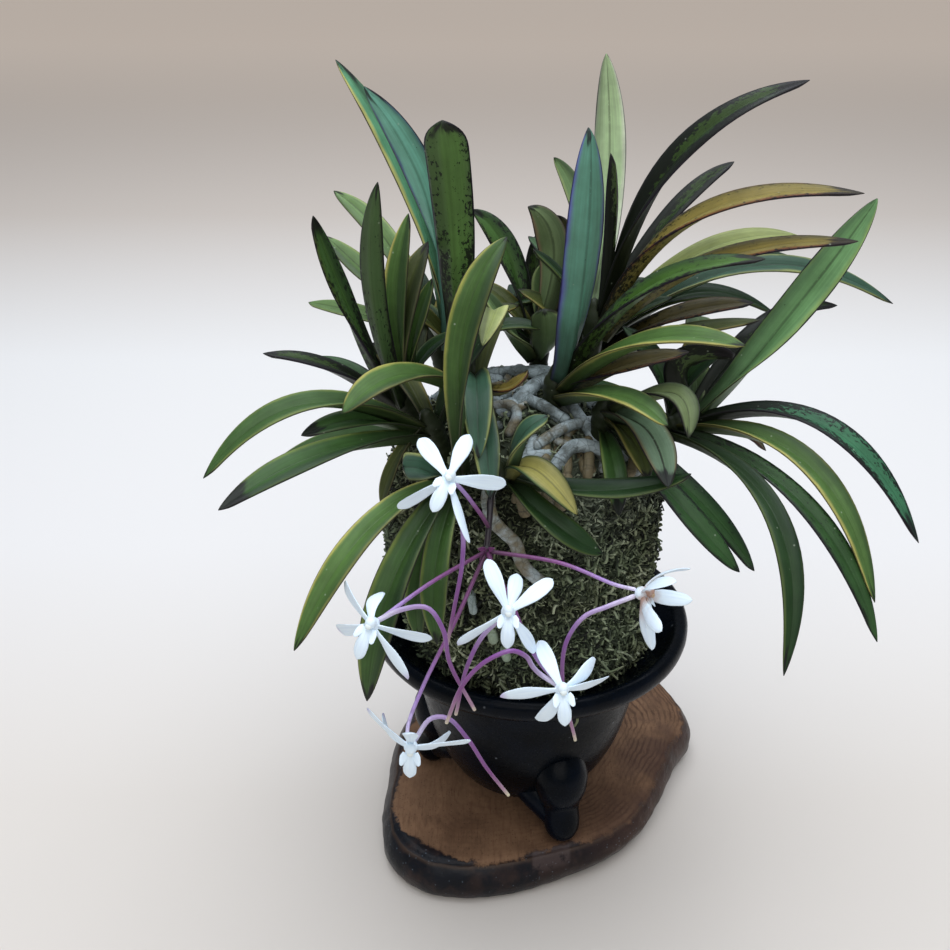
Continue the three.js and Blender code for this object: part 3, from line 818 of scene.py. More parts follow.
@dataclass(frozen=True)
class RootFinish:
    """Silvery velamen with darker joints, cracks and tan stretches."""

    silver: str = "a6b4b8"
    dark: str = "454e4c"
    tan: str = "70664c"
    tip: str = "8c9d80"

    def build(self, effects: Effects) -> Material:
        """Make the material, which reads the distance along a root, and its own share of tan.

        Args:
            effects: the shared node groups.

        Returns:
            The material.
        """
        t = Paint("root", effects)
        patch = t.noise(t.place, 170.0, 4.0, 0.6)
        colour = t.blend(t.span(patch, 0.35, 0.7), rgb(self.silver), rgb(self.dark))
        colour = t.over(colour, self.tan, t.span(t.plus(t.kept("tan"), patch), 0.75, 1.15))
        lengthwise = t.vector(t.times(t.kept("along"), 0.75), t.times(t.kept("own"), 40.0))
        joint = t.span(t.noise(lengthwise, 1.0, 2.0, 0.5), 0.6, 0.68)
        colour = t.over(colour, "39413c", joint, 0.55)
        cells = t.node("ShaderNodeTexVoronoi", {"Vector": t.place, "Scale": 420.0}, feature="DISTANCE_TO_EDGE")
        crack = t.span(cells.outputs[0], 0.06, 0.0)
        colour = t.over(colour, "3c3a30", crack, 0.4)
        colour = t.over(colour, "2f2c22", t.flecks(700.0, 0.35, 0.2), 0.5)
        colour = t.over(colour, self.tip, t.kept("end"))
        height = t.minus(t.times(patch, 0.6), t.plus(t.times(joint, 0.5), t.times(crack, 0.4)))
        return t.finish(Base_Color=colour, Roughness=0.68, Normal=t.bump(height, 0.6, 0.35))


@dataclass(frozen=True)
class LeafFinish:
    """Waxy leaves. Each blade keeps its own colours and marks at its points."""

    line: str = "1a1220"
    under: str = "6f8152"

    def build(self, effects: Effects) -> Material:
        """Make the material, which reads the place across and along a blade, and the blade's looks.

        Args:
            effects: the shared node groups.

        Returns:
            The material.
        """
        t = Paint("leaf", effects)
        across, along, length = t.kept("across"), t.kept("along"), t.kept("length")
        own, lee = t.kept("own"), t.kept("lee")

        def grain(*scales: float) -> Socket:
            """Return places on the blade: across it, along it and its own number, each with its scale."""
            return t.vector(*(t.times(value, scale) for value, scale in zip((across, length, own), scales)))

        patch = t.noise(grain(1.4, 0.09, 30.0), 1.0)
        veins = t.noise(grain(9.0, 0.05, 30.0), 1.0, 4.0, 0.6)
        dots = t.noise(grain(6.0, 0.65, 50.0), 1.0, 3.0, 0.7)
        rim = t.math("ABSOLUTE", across)
        wander = t.minus(patch, 0.5)
        reach = t.minus(t.plus(rim, t.times(wander, 0.4)), t.times(across, lee, 0.16))
        colour = t.blend(t.span(reach, 0.66, 1.0), t.kept("blade", "Color"), t.kept("margin", "Color"))
        # the half of a blade that turns from the light is darker
        colour = t.over(colour, "16241f", t.span(t.times(across, lee), 0.02, 0.3), 0.55)
        colour = t.blend(1.0, colour, t.span(veins, 0.25, 0.75, 0.68, 0.9), "MULTIPLY")
        colour = t.over(t.mottled(colour, 110.0, 0.5), self.under, t.kept("under"), 0.2)
        cover = t.times(t.kept("speckle"), t.plus(t.times(rim, 0.5), t.span(along, 0.75, 0.05, 0.0, 0.45),
                                                  0.12, t.times(wander, 0.8)))
        spots = t.span(t.minus(dots, t.minus(0.76, t.times(cover, 0.34))), -0.01, 0.035)
        colour = t.over(colour, "0f110d", spots, 0.93)
        rib = t.times(t.span(rim, 0.12, 0.02), t.span(dots, 0.28, 0.45))
        colour = t.over(colour, "1f2416", rib, t.kept("stripe"))
        edge = t.span(t.plus(rim, t.times(wander, 0.12)), 0.91, 0.97)
        colour = t.over(colour, self.line, edge, t.kept("edge"))
        start = t.minus(1.0, t.kept("tip"))
        ending = t.span(t.plus(along, t.times(wander, 0.3)), start, t.plus(start, 0.05))
        colour = t.over(colour, "120d12", ending, 0.9)
        # painted shade: each blade darkens towards its foot, where the leaves crowd round the crown
        foot = t.span(t.plus(along, t.times(wander, 0.2)), 0.4, 0.02)
        colour = t.over(colour, "171d10", foot, 0.75)
        colour = t.over(colour, "b9c4b0", t.flecks(520.0, 0.2, 0.06), 0.5)
        height = t.plus(t.times(veins, 0.8), t.times(t.noise(t.place, 700.0, 2.0), 0.2))
        return t.finish(Base_Color=colour, Roughness=t.span(patch, 0.3, 0.7, 0.36, 0.52),
                        Normal=t.bump(height, 0.35, 0.3), Specular_IOR_Level=0.22)


@dataclass(frozen=True)
class StalkFinish:
    """The stalk, near black at its foot, through purple to pale lilac at a flower."""

    streaks: str = "3f2a2e"

    def build(self) -> Material:
        """Make the material, which reads how near to a flower a point lies.

        Returns:
            The material.
        """
        t = Paint("stalk")
        near = t.plus(t.kept("bloomward"), t.swing(t.noise(t.place, 260.0), 0.12))
        colour = t.ramp(near, (0.0, "0b080b"), (0.15, "1f0f1c"), (0.3, "63305a"), (0.6, "844a86"),
                        (0.84, "a888c8"), (1.0, "ddd6ee"))
        streak = t.noise(t.vector(t.times(t.kept("along"), 0.5), t.times(t.kept("around"), 6.0)), 1.0)
        colour = t.over(colour, self.streaks, t.span(streak, 0.45, 0.75, 0.0, 0.3))
        return t.finish(Base_Color=colour, Roughness=0.45, Normal=t.bump(streak, 0.25, 0.15),
                        Coat_Weight=0.1, Coat_Roughness=0.3)


@dataclass(frozen=True)
class PetalFinish:
    """White petals with a breath of lilac, some with a purple tip, faded stains or a yellow anther."""

    white: str = "e6f5ff"
    shade: str = "c8dbf4"
    tip: str = "b59ace"
    stain: str = "a5683a"
    anther: str = "e6d58c"

    def build(self) -> Material:
        """Make the material, which reads the place along a petal, and what marks it.

        Returns:
            The material.
        """
        t = Paint("petal")
        along = t.kept("along")
        grain = t.vector(t.times(t.kept("across"), 4.0), t.times(along, 1.2), t.times(t.kept("own"), 20.0))
        veins = t.noise(grain, 1.0, 2.0)
        colour = t.blend(t.span(veins, 0.35, 0.8, 0.0, 0.35), rgb(self.white), rgb(self.shade))
        cloud = t.noise(t.place, 240.0)
        tip = t.span(t.plus(along, t.times(cloud, 0.1)), 0.88, 1.04)
        colour = t.over(colour, self.tip, t.kept("purple"), tip, 0.7)
        faded = t.times(t.span(cloud, 0.36, 0.6), t.span(along, 0.6, 0.05))
        colour = t.over(colour, self.stain, t.kept("stain"), faded)
        colour = t.over(colour, self.anther, t.kept("yellow"))
        return t.finish(Base_Color=colour, Roughness=0.5, Normal=t.bump(veins, 0.06, 0.12),
                        Specular_IOR_Level=0.3)


@dataclass(frozen=True)
class SpurFinish:
    """Purple nectar spurs with a pale greenish tip."""

    streaks: str = "533a66"

    def build(self) -> Material:
        """Make the material, which reads the share of the way to the tip.

        Returns:
            The material.
        """
        t = Paint("spur")
        share = t.plus(t.kept("along"), t.swing(t.noise(t.place, 300.0), 0.1))
        colour = t.ramp(share, (0.0, "e0daea"), (0.16, "b39fc9"), (0.38, "86529a"), (0.78, "7a3d7c"),
                        (0.93, "a8829a"), (1.0, "d9d2b0"))
        streak = t.noise(t.vector(t.times(t.kept("length"), 0.3), t.times(t.kept("around"), 5.0)), 1.0)
        colour = t.over(colour, self.streaks, t.span(streak, 0.4, 0.75, 0.0, 0.35))
        return t.finish(Base_Color=colour, Roughness=0.42, Normal=t.bump(streak, 0.2, 0.12),
                        Coat_Weight=0.12, Coat_Roughness=0.3)


class Palette:
    """All the finishes, built once."""

    def __init__(self) -> None:
        """Build the effects and the materials."""
        effects = Effects()
        self.wood = WoodFinish().build(effects)
        self.glaze = GlazeFinish().build(effects)
        self.moss = MossFinish().build(strands=False)
        self.strands = MossFinish().build(strands=True)
        self.root = RootFinish().build(effects)
        self.leaf = LeafFinish().build(effects)
        self.stalk = StalkFinish().build()
        self.petal = PetalFinish().build()
        self.spur = SpurFinish().build()


# ---- Wooden stand ----
@dataclass
class Stand:
    """A slice cut across a trunk, with a wavy bark edge."""

    outline: Pairs = (
        (-10, -46.5), (11, -41), (26, -35), (40, -23), (50, -6), (58, 11), (66, 28), (62, 47), (54, 61),
        (38, 72), (16, 72), (-8, 64), (-30, 51), (-44, 35), (-49, 16), (-49.5, 0), (-50.5, -18), (-47, -34),
        (-37, -44), (-24, -47.5))
    pith: tuple[float, float] = (6.0, 14.0)
    sides: int = 220
    top: float = 15.0
    # how far in from the edge and how high each ring of the slice lies, from underneath to the top
    section: Pairs = (
        (7.0, 0.0), (3.2, 0.0), (1.6, 0.6), (0.4, 2.0), (-0.5, 4.2), (-0.7, 6.6), (-0.4, 8.8), (0.4, 10.8),
        (1.4, 12.4), (2.3, 13.5), (2.9, 13.9), (3.3, 13.85), (3.8, 14.4), (5.2, 14.9), (6.6, 15.0), (7.6, 15.0))
    inner_rings: tuple[float, ...] = (0.86, 0.7, 0.52, 0.34, 0.17, 0.04)  # shares of the section's last ring
    core: float = 42.0  # how far in from that ring the pith lies, as the growth rings count it
    roughness: float = 0.35
    straight_back: float = 50.0  # behind this the bark stays within the outline

    def edge(self) -> tuple[Array, Array]:
        """Walk round the edge.

        Returns:
            Points evenly spaced round it, and the directions square to it, inwards.
        """
        closed = [*self.outline[-2:], *self.outline, *self.outline[:3]]
        path = Route([(x, y, 0.0) for x, y in closed])
        start, end = path.marks[2], path.marks[len(self.outline) + 2]
        distances = np.linspace(start, end, self.sides, endpoint=False)
        probe = 0.8
        along = path.at(distances + probe) - path.at(distances - probe)
        inwards = np.stack([-along[:, 1], along[:, 0], np.zeros(self.sides)], axis=1)
        return path.at(distances), inwards / np.linalg.norm(inwards, axis=1)[:, None]

    @staticmethod
    def undercut(points: Array, z: float) -> Array:
        """Return how far the bark of the right front draws in underneath.

        Args:
            points: places round the edge.
            z: the height.

        Returns:
            A column with the distance for each place.
        """
        most, middle, low = 3.6, 38, 9
        sideways = smooth(1.15 - np.abs(points[:, :1] - middle) / 40)
        return most * sideways * smooth(1.3 - points[:, 1:2] / 20) * max(0.0, 1 - z / low)

    def build(self, palette: Palette) -> None:
        """Make the slice.

        Args:
            palette: the finishes.
        """
        points, inwards = self.edge()
        middle = np.array([*self.pith, 0.0])
        rings, insets = [], []
        for inset, z in self.section:
            rough = 0.0 if z in (0.0, self.top) else self.roughness
            bark = np.array([rough * (rounded((*p[:2] * 0.25, z * 0.4)) - 1) for p in points])
            held = np.where(points[:, 1:2] > self.straight_back, max(inset, 0.1), inset)
            rings.append(points + inwards * (held - bark[:, None] + self.undercut(points, z)) + UP * z)
            insets.append(inset)
        last = rings[-1]
        for share in self.inner_rings:
            rings.append(middle + (last - middle - UP * self.top) * share + UP * self.top)
            insets.append(self.section[-1][0] + (1 - share) * self.core)
        skin = Skin(inset=0.0, ray_x=0.0, ray_y=0.0)
        shape, faces = loft(np.array(rings))
        away = shape[:, :2] - middle[:2]
        away /= np.maximum(np.linalg.norm(away, axis=1), 1e-6)[:, None]
        skin.add(shape, faces, inset=spread(np.array(insets), self.sides),
                 ray_x=away[:, 0], ray_y=away[:, 1])
        mount(skin.build("wood_slice", palette.wood), "wood", "stand")


# ---- Pot ----
@dataclass
class Pot:
    """A bowl with an overhanging rolled rim, on three knee-and-toe feet."""

    outside: Pairs = (
        (8, 20.5), (16, 20.5), (22.8, 23), (28, 30), (32.8, 41), (36, 54), (38, 66), (39.8, 73),
        (43.4, 76), (49, 78.6), (51.9, 81.2), (52.5, 84.6), (51.2, 87), (49.2, 87))
    inside: Pairs = (
        (49.2, 87), (46.4, 84.2), (40.5, 80.4), (36, 76.6), (33.2, 60), (29.2, 43), (22, 28.9), (15.5, 24.5),
        (8, 24.5))
    profile_rings: tuple[int, int] = (58, 44)  # outside and inside
    sides: int = 112
    foot_angles: tuple[float, ...] = (-71, 49, 169)
    foot_rings: int = 42
    foot_sides: int = 28
    ground: float = 15.05  # where the toes end, just over the wood
    # a foot from its hip in the wall to its toe: distance out, height and radius
    foot: Points = (
        (26.5, 44.6, 6.5), (29.6, 43.2, 8.3), (31.3, 40.4, 9.0), (31.6, 37.0, 8.8), (31.6, 33.6, 8.1),
        (31.8, 30.6, 7.0), (32.4, 28.0, 6.1), (33.2, 25.4, 5.9), (33.8, 23.0, 6.0), (34.0, 20.4, 5.9),
        (34.0, 18.0, 5.1), (34.0, 16.1, 3.6), (34.0, 15.3, 1.5))
    # the web that slopes from under the bowl to the toe, the same way
    web: Points = (
        (20.0, 30.0, 5.0), (24.0, 28.0, 7.2), (27.5, 25.8, 6.8), (31.0, 23.4, 6.0), (33.5, 21.5, 5.2),
        (34.2, 20.9, 3.0))

    def shell(self, skin: Skin) -> None:
        """Turn the bowl with its drain hole.

        Args:
            skin: the mesh to add to.
        """
        parts = []
        for side, count in zip((self.outside, self.inside), self.profile_rings):
            path = Route([(r, 0.0, z) for r, z in side])
            parts.append(path.at(np.linspace(0, path.length, count, endpoint=False)))
        radius, height = self.inside[-1]
        profile = np.vstack([*parts, [radius, 0.0, height]])
        angles = circle(self.sides)
        rings = np.stack([profile[:, :1] * np.cos(angles), profile[:, :1] * np.sin(angles),
                          np.repeat(profile[:, 2:], self.sides, axis=1)], axis=2)
        skin.add(rings.reshape(-1, 3), quads(len(profile), self.sides, closed=True))

    def leg(self, skin: Skin, angle: float, shape: Points, flare: float) -> None:
        """Add one foot, or its web.

        Args:
            skin: the mesh to add to.
            angle: its place round the pot, in degrees.
            shape: its distance out, height and radius, from the bowl to the toe.
            flare: by what share it is wider than deep at its start.
        """
        turned = math.radians(angle)
        out = np.array([math.cos(turned), math.sin(turned), 0.0])
        path = Route([tuple(out * r + UP * z) for r, z, _ in shape])
        distances = np.linspace(0, path.length, self.foot_rings)
        radii = np.interp(distances, path.marks, [radius for _, _, radius in shape])
        centres, normals, across = path.frames(distances)
        widened = normals * (1 + flare * np.linspace(1, 0, self.foot_rings)[:, None])
        rings = ringed(centres, radii, widened, across, self.foot_sides)
        rings[..., 2] = np.maximum(rings[..., 2], self.ground)
        skin.add(*loft(rings))

    def build(self, palette: Palette) -> None:
        """Make the bowl and its feet.

        Args:
            palette: the finishes.
        """
        skin = Skin()
        self.shell(skin)
        for angle in self.foot_angles:
            self.leg(skin, angle, self.foot, flare=0.0)
            self.leg(skin, angle, self.web, flare=0.95)
        mount(skin.build("glazed_pot", palette.glaze), "glaze", "pot")


# ---- Moss ----
@dataclass
class StrandBed:
    """A surface that strands of moss grow on."""

    name: str
    surface: Object
    density: float  # strands for each square millimetre
    length: float
    seed: int
    node: str
    lift: float = 0.45  # the steepest that a strand leans off the surface, in radians
    thickness: float = 0.55


class MossStrands:
    """Scatters little bent strands over a surface with Geometry Nodes."""

    SOCKETS = {"Density": "Float", "Length": "Float", "Thickness": "Float", "Lift": "Float", "Seed": "Int",
               "Material": "Material"}
    # the middle, the end and the girth of a long scrap, a curled one, a crumb and a bowed one
    BENDS = (((0.5, 0.22, 0.26), (1.0, -0.1, 0.08), 0.6), ((0.55, -0.4, 0.1), (0.6, 0.3, 0.3), 0.9),
             ((0.3, 0.16, 0.26), (0.4, -0.1, 0.45), 1.3), ((0.7, 0.4, 0.2), (0.5, 0.6, -0.1), 0.55))
    # the first input and the output of a random value node for each kind of value
    RANDOM = {"FLOAT_VECTOR": (0, 0), "FLOAT": (2, 1), "INT": (4, 2)}

    def __init__(self, material: Material) -> None:
        """Build the tree once for all beds.

        Args:
            material: the strands' finish.
        """
        self.material = material
        self.group = bpy.data.node_groups.new("moss_strands", "GeometryNodeTree")
        face = self.group.interface
        face.new_socket(name="Surface", in_out="INPUT", socket_type="NodeSocketGeometry")
        self.ids = {}
        for name, kind in self.SOCKETS.items():
            socket = face.new_socket(name=name, in_out="INPUT", socket_type=f"NodeSocket{kind}")
            self.ids[name] = socket.identifier
        face.new_socket(name="Strands", in_out="OUTPUT", socket_type="NodeSocketGeometry")
        self.tree = Tree(self.group)
        self._grow(self.tree.node("NodeGroupInput").outputs)

    def _strand(self, given: Outputs, bends: tuple[Point, Point], girth: float) -> Socket:
        """Shape one bent, flat, tapering scrap.

        Args:
            given: the group's inputs.
            bends: its middle and its end, as shares of its length.
            girth: its thickness, as a share of the usual one.

        Returns:
            The scrap, as an instance.
        """
        t = self.tree
        middle, end = (t.node("ShaderNodeVectorMath", {0: point, "Scale": given["Length"]},
                              operation="SCALE").outputs[0] for point in bends)
        curve = t.node("GeometryNodeCurveQuadraticBezier", {"Resolution": 3, "Start": (0.0, 0.0, 0.0),
                                                            "Middle": middle, "End": end})
        share = t.node("GeometryNodeSplineParameter").outputs["Factor"]
        taper = t.times(t.math("SINE", t.plus(t.times(share, 2.5), 0.5)), girth)
        bent = t.node("GeometryNodeSetCurveRadius", {"Curve": curve.outputs[0], "Radius": taper})
        ring = t.node("GeometryNodeCurvePrimitiveCircle", {"Resolution": 3, "Radius": given["Thickness"]})
        flat = t.node("GeometryNodeTransform", {"Geometry": ring.outputs[0], "Scale": (0.3, 1.0, 1.0)})
        solid = t.node("GeometryNodeCurveToMesh", {"Curve": bent.outputs[0], "Profile Curve": flat.outputs[0],
                                                   "Fill Caps": True})
        return t.node("GeometryNodeGeometryToInstance", {0: solid.outputs[0]}).outputs[0]

    def _random(self, low: Feed, high: Feed, seed: Feed, kind: str = "FLOAT") -> Socket:
        """Return a random value for each strand.

        Args:
            low: the least that it can be.
            high: the most that it can be.
            seed: the seed of its draws.
            kind: the kind of value, one of RANDOM.

        Returns:
            The value.
        """
        first, output = self.RANDOM[kind]
        inputs = {first: low, first + 1: high, "Seed": seed}
        return self.tree.node("FunctionNodeRandomValue", inputs, data_type=kind).outputs[output]

    def _grow(self, given: Outputs) -> None:
        """Lay out the tree: a strand on each point, with its own turn, size and shade.

        Args:
            given: the group's inputs.
        """
        t, seed, lift = self.tree, given["Seed"], given["Lift"]
        spots = t.node("GeometryNodeDistributePointsOnFaces", {
            "Mesh": given["Surface"], "Density": given["Density"], "Seed": seed}).outputs
        kinds = t.node("GeometryNodeJoinGeometry")
        for middle, end, girth in self.BENDS:
            t.feed(kinds.inputs[0], self._strand(given, (middle, end), girth))
        low = t.vector(-0.9, t.times(lift, -1.0), 0.0)
        high = t.vector(0.9, t.times(lift, 0.3), FULL_TURN)
        lean = self._random(low, high, seed, "FLOAT_VECTOR")
        spin = t.vector(0.0, 0.0, self._random(0.0, FULL_TURN, seed))
        rotation = spots["Rotation"]
        for angles in (spin, lean):
            twist = t.node("FunctionNodeEulerToRotation", {0: angles}).outputs[0]
            rotation = t.node("FunctionNodeRotateRotation", {0: rotation, 1: twist},
                              rotation_space="LOCAL").outputs[0]
        strands = t.node("GeometryNodeInstanceOnPoints", {
            "Points": spots["Points"], "Instance": kinds.outputs[0], "Pick Instance": True,
            "Instance Index": self._random(0, len(self.BENDS) - 1, seed, "INT"),
            "Rotation": rotation, "Scale": self._random(0.5, 1.3, t.plus(seed, 7.0))})
        shade = self._random(0.0, 1.0, t.plus(seed, 3.0))
        marked = t.node("GeometryNodeStoreNamedAttribute", {
            "Geometry": strands.outputs[0], "Name": "shade", "Value": shade},
            data_type="FLOAT", domain="INSTANCE")
        real = t.node("GeometryNodeRealizeInstances", {0: marked.outputs[0]})
        dressed = t.node("GeometryNodeSetMaterial", {0: real.outputs[0], "Material": given["Material"]})
        t.node("NodeGroupOutput", {0: dressed.outputs[0]})

    def cover(self, bed: StrandBed) -> None:
        """Grow strands over a bed, as a piece of its own.

        Args:
            bed: the surface, and how thick and how long the strands on it are.
        """
        surface = bed.surface
        modifier = surface.modifiers.new("moss", "NODES")
        modifier.node_group = self.group
        settings = {"Density": bed.density / MM ** 2, "Length": bed.length * MM,
                    "Thickness": bed.thickness * MM, "Lift": bed.lift, "Seed": bed.seed,
                    "Material": self.material}
        for name, value in settings.items():
            modifier[self.ids[name]] = value
        ready = surface.evaluated_get(bpy.context.evaluated_depsgraph_get())
        mesh = bpy.data.meshes.new_from_object(ready)
        surface.modifiers.remove(modifier)
        bpy.data.objects.remove(surface)
        mesh.name = bed.name
        outwards(mesh)
        mesh.shade_smooth()
        mount(link(bed.name, mesh), "moss", bed.node)


@dataclass
class MossMound:
    """The tall, slightly leaning mound of moss that fills the pot."""

    # radius, height and lumpiness: smooth in the pot, lumpy above the rim
    profile: Points = (
        (2, 25, 0), (15, 25.2, 0), (21.1, 29.6, 0), (28.4, 43.6, 0), (32.4, 60, 0), (35, 77, 0),
        (38.6, 81.4, 0.1), (39.8, 87, 0.5), (41.9, 97, 1), (43, 109, 1), (43, 121, 1), (42.6, 131, 1),
        (41.2, 140, 0.8), (38.6, 146, 0.6), (35.5, 149.4, 0.2), (2, 149.4, 0))
    bands: Pairs = ((80, 104), (103, 127), (126, 149.3))  # from and to what height
    sides: int = 120
    rows: int = 168

    def ring(self, radius: float, z: float, lumpiness: float, inset: float) -> Array:
        """Lay one ring of the mound's skin.

        Args:
            radius: its usual radius.
            z: its height.
            lumpiness: how strong its lumps are, from 0 to 1.
            inset: how far under the strands' own surface it lies, where it is lumpy.

        Returns:
            The points.
        """
        shift = -3.5 * float(smooth((z - 82) / 20)) + 1.5 * float(smooth((z - 120) / 25))
        angles = circle(self.sides)
        drawn_in = inset + 1.9 * np.cos(angles) ** 2  # at the sides the strands stand that much proud of it
        lump = (0.7 * np.sin(5 * angles + 0.13 * z) + 0.5 * np.sin(8 * angles - 0.21 * z + 1)
                + 0.4 * np.sin(3 * angles + 0.34 * z + 2))
        fine = np.array([rounded((math.cos(a) * 9, math.sin(a) * 9, z * 0.21))
                         + 0.7 * rounded((math.cos(a) * 19, math.sin(a) * 19, z * 0.45)) for a in angles])
        reach = radius + lumpiness * (lump + 1.3 * fine - drawn_in)
        return np.stack([shift + reach * np.cos(angles), reach * np.sin(angles),
                         np.full(self.sides, z)], axis=1)

    def rings(self, low: float, high: float, inset: float) -> Array:
        """Lay the rings between two heights.

        Args:
            low: the lower height.
            high: the upper one.
            inset: how far under the strands' own surface they lie.

        Returns:
            The points of each ring.
        """
        path = Route([(r, lumps, z) for r, z, lumps in self.profile])
        rows = path.at(np.linspace(0, path.length, self.rows))
        inside = rows[(rows[:, 2] >= low) & (rows[:, 2] <= high)]
        return np.array([self.ring(r, z, lumps, inset) for r, lumps, z in inside])

    def build(self, palette: Palette, strands: MossStrands) -> None:
        """Make the mound and cover what shows of it with strands.

        Args:
            palette: the finishes.
            strands: what grows the strands.
        """
        skin = Skin()
        # the body takes the dark moss, painted shade between the strands
        skin.add(*loft(self.rings(0, math.inf, inset=0.7)))
        mount(skin.build("moss_mound_body", palette.moss), "moss", "moss_mound")
        for k, (low, high) in enumerate(self.bands):
            bed = open_surface(f"bed_{k}", self.rings(low, high, inset=0.5))
            strands.cover(StrandBed(f"moss_strands_{k + 1}", bed, 1.3, 4.4, 20 + k, "moss_mound",
                                    thickness=0.5))


@dataclass
class Straws:
    """The loose stalks and fibres that lie on the moss, and a crumb of moss on the pot."""

    # radius, how pale, and the route of each
    stalks: tuple[tuple[float, float, Points], ...] = (
        (0.38, 0.95, ((19.6, -35.5, 95.4), (25.4, -31.8, 91.7), (31.1, -27.2, 84.9), (27.3, -30.2, 84.1),
                      (23.3, -33.2, 83.4))),
        (0.2, 0.75, ((34.5, -12, 114.2), (36.1, -12, 113.4), (38.3, -12, 110.8), (38.3, -12, 107.5),
                     (37.1, -12, 106.4))),
        (0.5, 1.0, ((13.7, -38.0, 140.5), (14.1, -39.0, 137.4), (15.1, -38.9, 132.4))),
        (0.3, 0.9, ((12.6, -38.4, 136.5), (14.4, -39.2, 135.4), (16.4, -38.4, 136.3))),
        (0.45, 0.85, ((19.3, -35.2, 91.7), (22.4, -34.4, 86.8), (26.0, -34.2, 82.4))),
        (0.4, 0.8, ((20.0, -34.6, 87.0), (23.0, -34.8, 86.0), (26.5, -33.6, 86.6))),
        (0.35, 0.7, ((-8, -42.6, 116), (-2, -43.2, 119), (5, -42.2, 117.5))),
        (0.3, 0.85, ((6, -41.5, 96), (12, -39.8, 97.5), (18, -36.6, 95.5))),
        (0.5, 0.75, ((12.5, -36.9, 71.4), (13.9, -37.0, 69.2), (12.4, -37.6, 66.6), (11.3, -37.8, 68.0))))
    taper: float = 0.7

    def build(self, palette: Palette) -> None:
        """Make them as one piece.

        Args:
            palette: the finishes.
        """
        skin = Skin(shade=0.0)
        for radius, pale, route in self.stalks:
            points, faces, _ = tube(Route(route), (radius, radius * self.taper), sides=8, step=0.8)
            skin.add(points, faces, shade=pale)
        mount(skin.build("moss_straws", palette.strands), "moss", "moss_mound")


# ---- Roots ----
@dataclass(frozen=True)
class Root:
    """One root: its radius, its route and how much of it is tan."""

    radius: float
    points: Points
    tan: float = 0.2
    swell: float = 0.84  # how much of that radius it has at its start
    green: float = 0.0  # how far it has the green of a growing tip

    def tube(self, phase: float) -> tuple[Array, list[Face], Array]:
        """Make its tube, uneven in girth and a little wavy.

        Args:
            phase: a number of its own for the unevenness.

        Returns:
            The points, the faces and each point's distance along the root.
        """
        def uneven(along: Array) -> Array:
            """Return a factor on the radius for each distance."""
            return np.array([1 + 0.09 * rounded((d * 0.33, phase, 0.0)) + 0.05 * rounded((d * 1.1, phase, 3.0))
                             for d in along])

        radii = (self.radius * self.swell, self.radius * (self.swell - 0.1))
        points, faces, along = tube(Route(self.points), radii, sides=14, step=1.1, swell=uneven)
        wobble = np.array([0.16 * rounded(p * 0.45) for p in points])
        return points + wobble[:, None] * UP, faces, along


